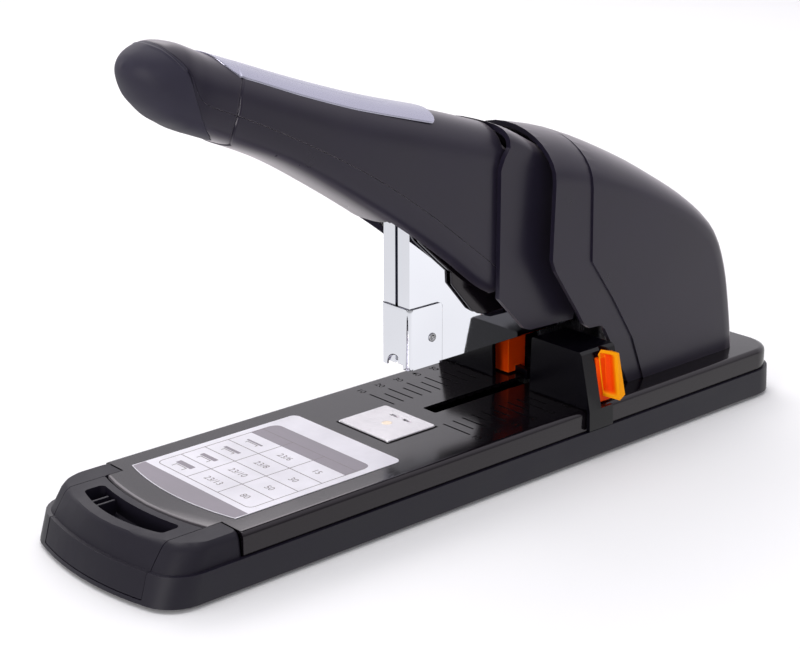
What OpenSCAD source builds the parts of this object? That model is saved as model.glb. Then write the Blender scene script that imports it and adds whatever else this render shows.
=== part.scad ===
// Heavy-duty desk stapler with a sliding depth guide.
// Drawn as it stands: +X to the rear, +Y to the left, +Z up, feet on z = 0.
// Most modules work in the deck frame: x = 0 is the staple line, z = 0 the deck's top.

/* [Base] */
// Length of the plastic base tray
base_len = 330; // [300:1:380]
// Width of the plastic base tray
base_w = 87; // [80:1:105]
// Height of the tray from its underside to its rim
tray_h = 11.5; // [10:0.5:14]
// Height of the deck's top above the tray's underside
deck_rise = 20.5; // [18:0.5:26]
// How far the rubber feet stand out below the tray
foot_h = 0.8; // [0.5:0.1:2]
// Radius of the rubber feet
foot_r = 7; // [5:0.5:9]
// Wall of the tray
tray_wall = 2.4; // [2:0.1:3.5]
// Floor of the tray
tray_floor = 2.4; // [2:0.1:3.5]
// Thickness of the steel deck
deck_t = 1.5; // [1.2:0.1:2]
// Step from the tray's side in to the deck's skirt
deck_step = 1.5; // [1:0.1:3]
// Distance of the staple line in front of the base's middle
staple_back = 19; // [10:1:30]

/* [Nose and drawer] */
// Length of the plastic nose in front of the deck's middle
nose_len = 25.5; // [22:0.5:32]
// Width of the drawer's pull
pull_w = 60; // [50:1:66]
// Length of the drawer's box behind its front
drawer_len = 76; // [50:1:85]
// How far the drawer pulls out
drawer_travel = 60; // [40:1:70]
// Depth of the finger recess in the pull
recess_depth = 7; // [5:0.5:8]

/* [Depth guide] */
// Distance of the guide's face from the staple line as it stands
guide_depth = 61; // [45:1:63]
// Height of the guide's arms above the deck
guide_h = 23.2; // [16:0.2:23.4]
// Depth of the guide's arms along the deck
guide_len = 19; // [17:0.5:21]
// Clear width between the guide's arms
guide_gap = 21.2; // [20.8:0.2:24]
// Wall of the guide's hollow arms
guide_wall = 1.8; // [1.4:0.1:2.4]
// How far the guide slides forward from where it stands
guide_travel = 51; // [30:1:51]
// Width of the deck's slot
slot_w = 7.5; // [6.5:0.1:9]
// Spacing of the index notches along the slot
notch_pitch = 5; // [4:0.5:8]
// How far a latch button pushes in
latch_travel = 1; // [0.6:0.1:1.2]

/* [Magazine] */
// Width over the magazine's channel
mag_w = 14.7; // [14.4:0.1:15]
// Sheet thickness of the magazine
mag_t = 0.8; // [0.7:0.05:0.9]
// Height of the magazine's underside above the deck
mag_gap = 23; // [22:0.5:27]
// Height of the front post above the deck
post_top = 80; // [74:1:84]
// Width of a staple's crown
staple_w = 12.7; // [12:0.1:12.8]
// Length of a staple's legs
staple_leg = 10; // [6:1:13]
// Length of the loaded staple strip
strip_len = 52; // [20:1:70]

/* [Handle] */
// Lean of the handle's axis at rest
handle_lean = 22; // [20:1:24]
// Half of the handle's width at its widest
handle_hw = 17.2; // [15:0.2:17.4]
// Wall of the handle's shells
shell_wall = 2.2; // [1.8:0.1:2.8]
// Half width of the hood at the root of the handle
hood_hw = 19.7; // [19:0.1:20.5]

/* [Rear housing] */
// Half width of the cover where it stands on the deck
cover_hw = 31.6; // [30:0.2:34]
// Half width of the cover's front arch
arch_hw = 29; // [28:0.2:31]
// Wall of the rear cover
cover_wall = 2; // [1.8:0.1:2.8]
// Distance of the main pivot behind the staple line
pivot_x = 76; // [74:1:80]
// Height of the main pivot above the deck
pivot_z = 78; // [76:1:80]
// Radius of the main pivot pin
pivot_r = 3; // [2.5:0.1:4]
// Distance of the magazine's hinge in front of the base's rear end
hinge_back = 34; // [32:1:49]
// Height of the magazine's hinge above the deck
hinge_z = 12; // [10:0.5:14]
// Radius of the magazine's hinge pin
hinge_r = 2; // [1.5:0.1:2.5]

/* [Hidden] */

big = 400;
eps = 0.01;
fit = 0.3;
running = 0.05;
seat_gap = 0.02;

tray_hw = base_w / 2;
deck_hw = tray_hw - deck_step;
deck_z = foot_h + deck_rise;
staple_x = -staple_back;
skirt_z = tray_h - deck_rise;
tray_z = -deck_rise;
x_front = -base_len / 2 - staple_x;
x_rear = base_len / 2 - staple_x;
deck_rear = x_rear - 2;
hinge_x = x_rear - hinge_back;
tray_corner = 14;
bow_r = 126;

black = [0.06, 0.06, 0.07];
satin = [0.10, 0.10, 0.11];
chrome = [0.85, 0.86, 0.88];
steel = [0.55, 0.56, 0.58];
orange = [0.95, 0.35, 0.03];
silver = [0.72, 0.73, 0.78];

module deck_frame() translate([staple_x, 0, deck_z]) children();

module twin() {
  children();
  mirror([0, 1, 0]) children();
}

// ---- outlines and lofts -------------------------------------------------

function arc(cx, cy, r, a0, a1, n) =
  [for (i = [0:n]) let (a = a0 + (a1 - a0) * i / n) [cx + r * cos(a), cy + r * sin(a)]];

// Plan of the base: straight sides, round rear corners, and a bowed front
// whose corner arcs are tangent to the bow and to the sides.
function plan(xf, xr, hw, rf, rr, bow) =
  let (
    cy = hw - rf,
    cx = xf + bow - sqrt(pow(bow - rf, 2) - cy * cy),
    b = asin(cy / (bow - rf))
  )
  concat(
    arc(xr - rr, hw - rr, rr, 0, 90, 8),
    arc(cx, cy, rf, 90, 180 - b, 6),
    arc(xf + bow, 0, bow, 180 - b * 0.8, 180 + b * 0.8, 8),
    arc(cx, -cy, rf, 180 + b, 270, 6),
    arc(xr - rr, -hw + rr, rr, 270, 360, 8)
  );

// Catmull-Rom spline through rows of numbers, n steps between neighbours.
function blend(a, b, c, d, t) =
  0.5 * (2 * b + (c - a) * t + (2 * a - 5 * b + 4 * c - d) * t * t
         + (3 * b - a - 3 * c + d) * t * t * t);
function spline(p, n) = concat(
  [for (i = [0:len(p) - 2]) for (k = [0:n - 1])
    blend(p[max(i - 1, 0)], p[i], p[i + 1], p[min(i + 2, len(p) - 1)], k / n)],
  [p[len(p) - 1]]
);

// Value of column c of the rows at x, straight between neighbouring rows.
function at(rows, x, c) =
  let (i = max([for (k = [0:len(rows) - 2]) if (rows[k][0] <= x || k == 0) k]))
  let (t = (x - rows[i][0]) / (rows[i + 1][0] - rows[i][0]))
  rows[i][c] + t * (rows[i + 1][c] - rows[i][c]);

function bulge(c, n) = sign(c) * pow(abs(c), 2 / n);

// Skin over equal closed rings. A full ring is capped by a fan round its middle, a hollow
// one, drawn out along the wall and back inside it, by a strip across the wall.
function middle(ring) = [for (k = [0:2]) [for (p = ring) p[k]] * [for (p = ring) 1] / len(ring)];
module skin(rings, hollow = false) {
  n = len(rings[0]);
  m = len(rings);
  e = (m - 1) * n;
  all_points = [for (r = rings) each r];
  points = hollow ? all_points : concat(all_points, [middle(rings[0]), middle(rings[m - 1])]);
  walls = [for (i = [0:m - 2]) for (j = [0:n - 1])
    let (a = i * n + j, b = i * n + (j + 1) % n, c = a + n, d = b + n)
    each [[a, d, b], [a, c, d]]];
  caps = hollow
    ? [for (a = [0:n / 2 - 2]) let (b = a + 1, c = n - 2 - a, d = n - 1 - a)
        each [[a, b, c], [a, c, d], [e + a, e + c, e + b], [e + a, e + d, e + c]]]
    : [for (j = [0:n - 1]) let (k = (j + 1) % n) each [[m * n, j, k], [m * n + 1, e + k, e + j]]];
  polyhedron(points, concat(walls, caps));
}

// Prism on an XZ outline, from y0 to y1.
module side_prism(points, y0, y1)
  translate([0, y1, 0]) rotate([90, 0, 0]) linear_extrude(y1 - y0) polygon(points);

// Bar along Y with a round section.
module cross_bar(r, y0, y1) translate([0, y1, 0]) rotate([90, 0, 0]) cylinder(r = r, h = y1 - y0, $fn = 48);

module box(x0, x1, y0, y1, z0, z1) translate([x0, y0, z0]) cube([x1 - x0, y1 - y0, z1 - z0]);

// ---- base ---------------------------------------------------------------

// Rows of the tray's block: [height, step in all round, lean of the front].
tray_lean = 2.8;
tray_soft = 0.8;
tray_rows = [[0, tray_soft, 0.4], [tray_soft, 0, 0], [tray_h - eps, 0.3, tray_lean]];
module tray_block(inset) hull() for (s = tray_rows)
  translate([0, 0, s[0]]) linear_extrude(eps)
    polygon(plan(x_front + s[2] + s[1] + inset, x_rear - s[1] - inset, tray_hw - s[1] - inset,
                 tray_corner, tray_corner, bow_r));

drawer_z = tray_z + 2.5;
drawer_hw = pull_w / 2 - 1.4;
mouth_z = 2.2;
mouth_len = 12;
foot_x = [x_front + 24, x_rear - 22];
foot_y = tray_hw - 13;
foot_seat = 1.2;
foot_rim = 3;
boss_x = [-88, 22, 104];
boss_y = tray_hw - 8;
boss_r = 4;
screw_r = 1.6;
head_r = 3.2;
head_h = 2.2;
head_deep = 0.4;
cross_w = 0.8;
rib_x = [120, 175, 232, 280];
rib_t = 1.6;
rib_end = 13;
rail_x = x_front + 34;

module at_bosses() for (x = boss_x) for (s = [-1, 1]) translate([x, s * boss_y, 0]) children();
module at_feet() for (x = foot_x) for (s = [-1, 1]) translate([x, s * foot_y, 0]) children();

// Tray: open on top, mouth for the drawer in front, bosses and drawer rails inside.
module base_tray() color(satin) translate([staple_x, 0, foot_h]) {
  difference() {
    tray_block(0);
    translate([0, 0, tray_floor]) linear_extrude(tray_h)
      polygon(plan(x_front + tray_lean + tray_wall, x_rear - tray_wall, tray_hw - tray_wall,
                   tray_corner - tray_wall, tray_corner - tray_wall, bow_r));
    box(x_front - 1, x_front + mouth_len, -pull_w / 2 - fit, pull_w / 2 + fit, mouth_z, tray_h + 1);
    screw_path();
    at_feet() translate([0, 0, -1]) cylinder(r = foot_r + 0.1, h = 1 + foot_seat, $fn = 48);
  }
  difference() {
    union() {
      at_bosses() translate([0, 0, tray_floor])
        cylinder(r = boss_r, h = deck_rise - deck_t - tray_floor, $fn = 32);
      twin() translate([0, drawer_hw + 1.5, 0])
        box(rail_x, rail_x + drawer_len, -rib_t / 2, rib_t / 2, tray_floor, tray_h);
      for (x = rib_x) translate([x_front + x, 0, 0])
        box(0, rib_t, -tray_hw + rib_end, tray_hw - rib_end, tray_floor, tray_h - 2);
    }
    screw_path();
  }
}
module screw_path() at_bosses() translate([0, 0, -1]) {
  cylinder(r = screw_r + fit, h = big, $fn = 24);
  cylinder(r = head_r + fit, h = 1 + head_h + head_deep, $fn = 32);
}

// Feet: round pads glued in sockets, with a shallow dish below.
module rubber_feet() color("black") translate([staple_x, 0, 0]) at_feet() difference() {
  cylinder(r = foot_r, h = foot_h + foot_seat, $fn = 48);
  translate([0, 0, -eps]) cylinder(r = foot_r - foot_rim, h = foot_h / 2, $fn = 32);
}

// Screws up through the tray's bosses into the deck.
module base_screws() color(steel) translate([staple_x, 0, foot_h]) at_bosses() {
  translate([0, 0, head_deep]) difference() {
    cylinder(r = head_r, h = head_h, $fn = 32);
    translate([0, 0, -eps]) for (a = [0, 90]) rotate(a) translate([-head_r * 0.6, -cross_w / 2, 0])
      cube([head_r * 1.2, cross_w, head_h / 2]);
  }
  translate([0, 0, head_h]) cylinder(r = screw_r, h = deck_rise - screw_tip - head_h, $fn = 24);
}

// ---- deck ---------------------------------------------------------------

deck_front = x_front + nose_len + 1.1;
deck_bow = 115;
deck_bend = 2.2;
nose_back = deck_front + 11.7;
nose_wall = 2.5;
anvil_x0 = -19;
anvil_x1 = 6;
anvil_hw = 14.8;
slot_x0 = 15.6;
slot_x1 = 101;
slot_round = 1;
notch_x0 = 20;
notch_count = 14;
notch_side = 1.9;
screw_tip = 0.6;
window_gap = 0.5;

// Block with rounded top edges, from z0 up to z1.
module soft_block(xf, xr, hw, rf, rr, bow, z0, z1, edge) {
  hull() {
    translate([0, 0, z0]) linear_extrude(eps) polygon(plan(xf, xr, hw, rf, rr, bow));
    for (k = [0:4]) let (a = 90 * k / 4, d = edge * (1 - cos(a)))
      translate([0, 0, z1 - eps - edge + edge * sin(a)]) linear_extrude(eps)
        polygon(plan(xf + d, xr - d, hw - d, rf - d / 2, rr - d / 2, bow));
  }
}

module slot_cut() hull() for (x = [slot_x0 + slot_round, slot_x1 - slot_round]) twin()
  translate([x, slot_w / 2 - slot_round, 0])
    cylinder(r = slot_round, h = 3 * deck_t, $fn = 24, center = true);

// Stamped depth scale beside the slot: long marks each 10 mm from the staple line, short ones between.
scale_x0 = 10;
scale_pitch = 5;
scale_count = 11;
scale_in = slot_w / 2 + 10.5;
scale_long = 15;
scale_short = 11.7;
scale_w = 0.8;
scale_depth = 0.3;
module scale_marks() for (k = [0:scale_count - 1]) twin() translate([scale_x0 + k * scale_pitch, scale_in, 0])
  box(-scale_w / 2, scale_w / 2, 0, k % 2 == 0 ? scale_long : scale_short, -scale_depth, 1);

// Deck: folded sheet steel with a slot, index notches, a stamped scale and an anvil window.
module deck_plate() color(black) deck_frame() difference() {
  soft_block(deck_front, deck_rear, deck_hw, 6, tray_corner - 1.5, deck_bow, skirt_z + fit, 0, deck_bend);
  soft_block(deck_front - 4, deck_rear - deck_t, deck_hw - deck_t, 4, tray_corner - 3, deck_bow,
             skirt_z - 4, -deck_t, deck_bend - 1);
  twin() box(deck_front - 9, nose_back, pull_w / 2, deck_hw + 1, skirt_z - 1, 1);
  box(deck_front - 9, deck_front + 8, -pull_w / 2 - 2, pull_w / 2 + 2, skirt_z - 1, -deck_t);
  slot_cut();
  for (k = [0:notch_count - 1]) twin() translate([notch_x0 + k * notch_pitch, slot_w / 2, 0])
    rotate(45) cube([notch_side, notch_side, 4 * deck_t], center = true);
  box(anvil_x0 - window_gap, anvil_x1 + window_gap, -anvil_hw - window_gap, anvil_hw + window_gap,
      -2 * deck_t, 1);
  scale_marks();
  at_bosses() translate([0, 0, -2 * deck_t])
    cylinder(r = screw_r + 0.1, h = 2 * deck_t - screw_tip, $fn = 24);
  at_frame_screws() cylinder(r = bolt_r + 0.1, h = 4 * deck_t, $fn = 24, center = true);
  at_cover_screws() cylinder(r = screw_r + 0.2, h = 4 * deck_t, $fn = 24, center = true);
}

// Nose: two corner blocks beside the drawer's pull, joined by a bridge under the deck.
// Rows of its block: [height, lean of the front, step in at the sides, corner radius, bow].
nose_hw = deck_hw - 0.4;
nose_front = x_front + 4.8;
nose_rows = [
  [skirt_z, 0, 0, 13, bow_r],
  [-2.4, 2.5, 0.5, 11.5, 86],
  [-0.9, 3.1, 1.1, 11, 76],
  [-eps, 4.3, 2.3, 10, 70]
];
module nose_block() hull() for (s = nose_rows)
  translate([0, 0, s[0]]) linear_extrude(eps)
    polygon(plan(nose_front + s[1], nose_back - s[2] / 3, nose_hw - s[2], s[3], 2, s[4]));
module nose_cap() color(satin) deck_frame() {
  difference() {
    nose_block();
    box(nose_front - 9, nose_back + 1, -pull_w / 2 - fit, pull_w / 2 + fit, skirt_z - 1, 1);
    twin() box(nose_back - 0.3, nose_back + 9, 0, deck_hw + 1, skirt_z - 1, 1);
    twin() translate([0, 0, skirt_z - eps]) linear_extrude(-skirt_z - nose_wall) polygon([
      [x_front + 22, deck_hw - 4], [nose_back - nose_wall, deck_hw - 4],
      [nose_back - nose_wall, pull_w / 2 + nose_wall], [x_front + 16, pull_w / 2 + nose_wall]
    ]);
  }
  box(deck_front + 4.8, nose_back - 0.6, -pull_w / 2 - 1, pull_w / 2 + 1, skirt_z + 0.6, -deck_t - 0.3);
}

// Drawer: pull with a crescent finger recess, front panel, and an open box behind.
recess_x = nose_front + 8.4;
recess_w = 10.2;
recess_bow = 66;
recess_hl = pull_w / 2 - 6;
recess_round = 2;
pull_front_t = 2;
box_wall = 1.6;
box_floor = 1.4;
ridge_y = [13, 17];
module crescent() offset(r = recess_round, $fn = 24) intersection() {
  translate([recess_x + recess_bow, 0]) circle(r = recess_bow - recess_round, $fn = 160);
  difference() {
    translate([recess_x - 5, -recess_hl + recess_round]) square([30, 2 * (recess_hl - recess_round)]);
    translate([recess_x + recess_w + deck_bow, 0]) circle(r = deck_bow + recess_round, $fn = 240);
  }
}
module staple_drawer() color(satin) deck_frame() {
  difference() {
    intersection() {
      nose_block();
      box(nose_front - 9, deck_front + 9, -pull_w / 2, pull_w / 2, skirt_z - 1, 1);
      translate([deck_front - fit, 0, skirt_z - 1]) linear_extrude(big) difference() {
        translate([-big / 2, -big / 2]) square([big / 2 + 9, big]);
        translate([deck_bow, 0]) circle(r = deck_bow, $fn = 240);
      }
    }
    translate([0, 0, -recess_depth]) linear_extrude(recess_depth + 1) crescent();
  }
  difference() {
    intersection() {
      translate([0, 0, tray_z]) tray_block(0.15);
      box(x_front - 1, x_front + 9, -pull_w / 2, pull_w / 2, drawer_z, skirt_z + eps);
    }
    box(x_front + 6, x_front + 12, -pull_w / 2 + pull_front_t, pull_w / 2 - pull_front_t,
        drawer_z + pull_front_t, skirt_z - pull_front_t);
  }
  for (y = ridge_y) translate([0, y, -recess_depth - eps])
    box(recess_x + 0.2, recess_x + recess_w - 0.2, -0.5, 0.5, 0, recess_depth - 1.5);
  difference() {
    box(x_front + 8, x_front + 8 + drawer_len, -drawer_hw, drawer_hw, drawer_z, skirt_z + fit);
    box(x_front + 12, x_front + 8 + drawer_len - box_wall, -drawer_hw + box_wall, drawer_hw - box_wall,
        drawer_z + box_floor, 1);
  }
}

// ---- anvil --------------------------------------------------------------

anvil_top = 0.65;
anvil_edge = 0.25;
seat_t = 3;
seat_rim = 7;
rivet_x = -6.5;
rivet_r = 2;
rivet_head_r = 3.4;
rivet_head_t = 1.2;
module rivet_hole() translate([rivet_x, 0, 0])
  cylinder(r = rivet_r + seat_gap, h = 20, $fn = 32, center = true);
module anvil_seat() color(steel) deck_frame() difference() {
  box(anvil_x0 - seat_rim, anvil_x1 + seat_rim, -anvil_hw - seat_rim, anvil_hw + seat_rim,
      -deck_t - seat_t, -deck_t);
  rivet_hole();
}

// Anvil: hardened plate with two crimping grooves on the staple line.
groove_r = 4.2;
groove_w = 1.5;
groove_depth = 0.8;
groove_y = 3.7;
module anvil_slab(inset, z0, z1) translate([(anvil_x0 + anvil_x1) / 2, 0, z0]) linear_extrude(z1 - z0)
  offset(r = 1.2, $fn = 24)
    square([anvil_x1 - anvil_x0 - 2.4 - 2 * inset, 2 * (anvil_hw - 1.2 - inset)], center = true);
module anvil_plate() color(chrome) deck_frame() difference() {
  union() {
    anvil_slab(0, -deck_t, anvil_top - anvil_edge);
    anvil_slab(anvil_edge, anvil_top - anvil_edge - eps, anvil_top);
  }
  twin() translate([0.6, groove_y, anvil_top + groove_r - groove_depth]) rotate([0, 90, 0])
    cylinder(r = groove_r, h = groove_w, $fn = 64, center = true);
  rivet_hole();
}
module anvil_rivet() color(steel) deck_frame() translate([rivet_x, 0, -deck_t - seat_t]) {
  translate([0, 0, -rivet_head_t]) cylinder(r = rivet_head_r, h = rivet_head_t, $fn = 32);
  translate([0, 0, -eps]) cylinder(r = rivet_r, h = deck_t + seat_t + anvil_top + eps, $fn = 32);
}

// Printed card for the staple table, on the deck in front of the anvil.
label_x = -26.6;
label_front = -107.4;
label_hw = 31.5;
label_round = 3;
label_t = 0.25;
module guide_table_label() color("white") deck_frame() linear_extrude(label_t) intersection() {
  translate([label_front - label_round, -label_hw + label_round]) offset(r = label_round, $fn = 32)
    square([label_x - label_front, 2 * (label_hw - label_round)]);
  translate([label_front + deck_bow, 0]) circle(r = deck_bow, $fn = 200);
}

// ---- rear frame, pins and cover -----------------------------------------

// Frame: two tall steel cheeks on a folded foot, bolted to the deck.
cheek_y = 22;
cheek_t = 2;
frame_x0 = 103;
frame_x1 = hinge_x + 7;
bolt_r = 2;
bolt_head_r = 3.6;
bolt_head_h = 2;
nut_h = 2.4;
bolt_y = 14;
ear_r = 10.5;
light_r = 9;
cheek_side = concat(
  [[frame_x0, 0], [frame_x1, 0], [frame_x1, 20], [frame_x1 - 11, 40], [frame_x1 - 39, 62], [94, 80]],
  arc(pivot_x, pivot_z, ear_r, 45, 215, 14),
  [[72, 58], [90, 30], [frame_x0 - 4, 12]]
);
module at_frame_screws() for (x = [frame_x0 + 8, frame_x1 - 20]) twin()
  translate([x, bolt_y, 0]) children();
module at_cover_screws() twin() translate([x_rear - 23, cover_hw - 14.1, 0]) children();
module at_pivot() translate([pivot_x, 0, pivot_z]) children();
module at_hinge() translate([hinge_x, 0, hinge_z]) children();

module rear_frame() color(steel) deck_frame() difference() {
  union() {
    twin() side_prism(cheek_side, cheek_y, cheek_y + cheek_t);
    difference() {
      box(frame_x0, frame_x1, -cheek_y - eps, cheek_y + eps, 0, cheek_t);
      box(frame_x0 + 12, frame_x0 + 28, -6, 6, -1, cheek_t + 1);
    }
  }
  at_pivot() cross_bar(pivot_r + seat_gap, -big / 2, big / 2);
  at_hinge() cross_bar(hinge_r + seat_gap, -big / 2, big / 2);
  at_frame_screws() cylinder(r = bolt_r + 0.1, h = 3 * cheek_t, $fn = 24, center = true);
  twin() side_prism(arc(120, 34, light_r, 0, 345, 23), cheek_y - 1, cheek_y + cheek_t + 1);
}

module frame_screws() color(steel) deck_frame() at_frame_screws() {
  translate([0, 0, -deck_t - nut_h]) cylinder(r = bolt_head_r, h = nut_h, $fn = 6);
  translate([0, 0, -deck_t - nut_h - 0.6]) cylinder(r = bolt_r, h = deck_t + nut_h + 0.6 + cheek_t, $fn = 24);
  translate([0, 0, cheek_t]) intersection() {
    cylinder(r = bolt_head_r, h = bolt_head_h, $fn = 32);
    translate([0, 0, bolt_head_h - 5]) sphere(r = 5, $fn = 48);
  }
}

// Side line of the cover: rows of [x, z, half width, depth of the rounded edge, squareness],
// drawn out behind its front so that it always ends cover_back before the base does.
cover_back = 14;
cover_line = [
  [44, 113, arch_hw - 0.2, 20, 2.0],
  [55.5, 110.3, arch_hw, 20, 2.0],
  [76.3, 105, arch_hw + 0.3, 19, 2.1],
  [103.6, 93.3, arch_hw + 0.9, 17, 2.2],
  [127.4, 80, arch_hw + 1.4, 15, 2.4],
  [145, 68, arch_hw + 1.8, 13.5, 2.6],
  [156.5, 55.5, arch_hw + 2.0, 12, 2.9],
  [163, 39.4, cover_hw - 0.4, 11, 3.1],
  [166.6, 20.4, cover_hw - 0.1, 10.5, 3.3],
  [169.4, 0, cover_hw, 10, 3.4],
  [170, -7, cover_hw, 10, 3.4]
];
cover_end = cover_line[len(cover_line) - 1][0];
cover_k = (x_rear - cover_back - cover_line[0][0]) / (cover_end - cover_line[0][0]);
cover_rows = [for (r = cover_line)
  [cover_line[0][0] + (r[0] - cover_line[0][0]) * cover_k, r[1], r[2], r[3], r[4]]];
function unit(v) = v / norm(v);
function tangent(p, i) =
  let (a = p[max(i - 1, 0)], b = p[min(i + 1, len(p) - 1)])
  unit([b[0] - a[0], b[1] - a[1]]);

// One arch: half of a superellipse across the side line, moved in by inset.
function arch(p, i, inset, n, shift) =
  let (t = tangent(p, i), up = [-t[1], t[0]], r = p[i])
  [for (k = [0:n]) let (
      a = 180 * k / n,
      y = (r[2] - inset) * bulge(cos(a), r[4]),
      d = inset + (r[3] - inset) * (1 - bulge(sin(a), r[4]))
    ) [r[0] - up[0] * d + shift[0], y, r[1] - up[1] * d + shift[1]]];

// Closed block under the arches: its foot is the line x = foot[0], z = foot[1].
module arch_block(rows, steps, n, inset, foot, foot_hw) {
  p = spline(rows, steps);
  m = len(p);
  rings = [for (i = [0:m - 1]) arch(p, i, inset, n, [0, 0])];
  points = concat([for (r = rings) each r], [[foot[0], foot_hw, foot[1]], [foot[0], -foot_hw, foot[1]]]);
  f0 = m * (n + 1);
  f1 = f0 + 1;
  w = n + 1;
  top = [for (i = [0:m - 2]) for (j = [0:n - 1])
    let (a = i * w + j, b = a + 1, c = a + w, d = c + 1) each [[a, c, d], [a, d, b]]];
  sides = [for (i = [0:m - 2]) each [[f0, (i + 1) * w, i * w], [f1, i * w + n, (i + 1) * w + n]]];
  front = concat([for (j = [0:n - 1]) [f0, j, j + 1]], [[f0, n, f1]]);
  last = (m - 1) * w;
  back = concat([for (j = [0:n - 1]) [f0, last + j + 1, last + j]], [[f0, f1, last + n]]);
  polyhedron(points, concat(top, sides, front, back));
}

// Side view of the cover's mouth, from its arch down to its foot.
post_h = 14;
cover_mouth = [[58, 130], [55.5, 112], [55.8, 95], [54.6, 76], [53.7, 60], [55.5, 55.5], [68, 36.5],
               [71.5, 30.6], [74.5, 28.6], [81.5, 28.2], [83.5, 26.2], [98, 0], [big, 0], [big, 130]];
panel_rise = 0.8;
panel_edge = [[75.6, 130], [75, 56], [87.6, 38], [99.4, 19], [108.6, -5], [big, -5], [big, 130]];
slim_rows = [for (r = cover_rows) [r[0], r[1], r[2] - panel_rise, r[3], r[4]]];
module rear_cover() color(satin) deck_frame() {
  difference() {
    intersection() {
      union() {
        arch_block(slim_rows, 3, 16, 0, [46, -6], cover_hw - panel_rise);
        intersection() {
          arch_block(cover_rows, 3, 16, 0, [46, -6], cover_hw);
          side_prism(panel_edge, -big / 2, big / 2);
        }
      }
      side_prism(cover_mouth, -big / 2, big / 2);
    }
    arch_block(slim_rows, 3, 14, cover_wall, [40, -8], cover_hw - panel_rise - cover_wall);
    box(30, x_rear - cover_back - 10, -cover_hw + cover_wall + 3, cover_hw - cover_wall - 3, -3, 30);
  }
  at_cover_screws() difference() {
    cylinder(r = boss_r, h = post_h, $fn = 32);
    translate([0, 0, -1]) cylinder(r = screw_r + seat_gap, h = post_h - 2, $fn = 24);
  }
}

module cover_screws() color(steel) deck_frame() at_cover_screws() {
  translate([0, 0, -deck_t - head_h]) cylinder(r = head_r, h = head_h, $fn = 32);
  translate([0, 0, -deck_t - head_h / 2]) cylinder(r = screw_r, h = post_h - 2.4, $fn = 24);
}

// Main pin: a plain shaft with a groove and a spring clip at each end.
main_hl = cheek_y + cheek_t + 1.6;
clip_t = 0.6;
clip_y = main_hl - 1.15;
clip_rim = 2.2;
clip_groove = 0.7;
module main_pivot_pin() color(steel) deck_frame() at_pivot() difference() {
  cross_bar(pivot_r, -main_hl, main_hl);
  twin() difference() {
    cross_bar(pivot_r + 1, clip_y - 0.05, clip_y + clip_t + 0.05);
    cross_bar(pivot_r - clip_groove, clip_y - 1, main_hl);
  }
}
module pivot_clips() color(steel) deck_frame() at_pivot() twin() difference() {
  cross_bar(pivot_r + clip_rim, clip_y, clip_y + clip_t);
  cross_bar(pivot_r - clip_groove + seat_gap, clip_y - 1, main_hl);
  box(-pivot_r / 2, pivot_r / 2, clip_y - 1, main_hl, -3 * pivot_r, 0);
}

// Magazine's hinge: a shaft riveted over at both cheeks.
hinge_hl = cheek_y + cheek_t;
module magazine_pin() color(steel) deck_frame() at_hinge() {
  cross_bar(hinge_r, -hinge_hl - 1, hinge_hl + 1);
  twin() cross_bar(hinge_r + 1.5, hinge_hl + seat_gap, hinge_hl + 1.2);
}

// Springs are closed sleeves with grooves where the coils part.
module coil(r, wire, length, turns) {
  pitch = length / turns;
  difference() {
    cylinder(r = r, h = length, $fn = 40);
    translate([0, 0, -1]) cylinder(r = r - wire, h = length + 2, $fn = 40);
    for (k = [0:turns - 1]) translate([0, 0, (k + 0.5) * pitch]) rotate_extrude($fn = 40)
      translate([r, 0]) circle(r = min(wire, pitch) * 0.42, $fn = 16);
  }
}
lift_x = frame_x0 + 18;
module lift_spring() color(steel) deck_frame() translate([lift_x, 0, 0.1]) coil(5.5, 1.2, mag_gap - 0.3, 6);

// ---- depth guide --------------------------------------------------------

g0 = guide_depth;
g1 = g0 + guide_len;
arm_in = guide_gap / 2;
arm_top_y = deck_hw - 3.3;
arm_foot_y = deck_hw + 2.3;
lug_in = deck_hw + 0.45;
lug_z = skirt_z + 0.9;
bar_x0 = g0 + 7;
bar_x1 = bar_x0 + 10;
bar_z0 = 0.7;
bar_z1 = 19.8;
bar_in = mag_w / 2 + latch_travel + 0.15;
bar_wall = 2;
bar_out = arm_top_y + 1.8;
bridge_x1 = g1 + 7.5;
bridge_z = 4.6;
bridge_hw = arm_top_y - 4;
neck_x0 = g1 + 0.8;
neck_x1 = bridge_x1 - 0.6;
neck_gap = 0.25;
keeper_t = 2.05;
keeper_hw = 12;
guide_screw_r = 1.5;
guide_screw_h = 1.8;
spring_stop = 23;
stop_t = 1.6;
back_lean = 24;

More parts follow.
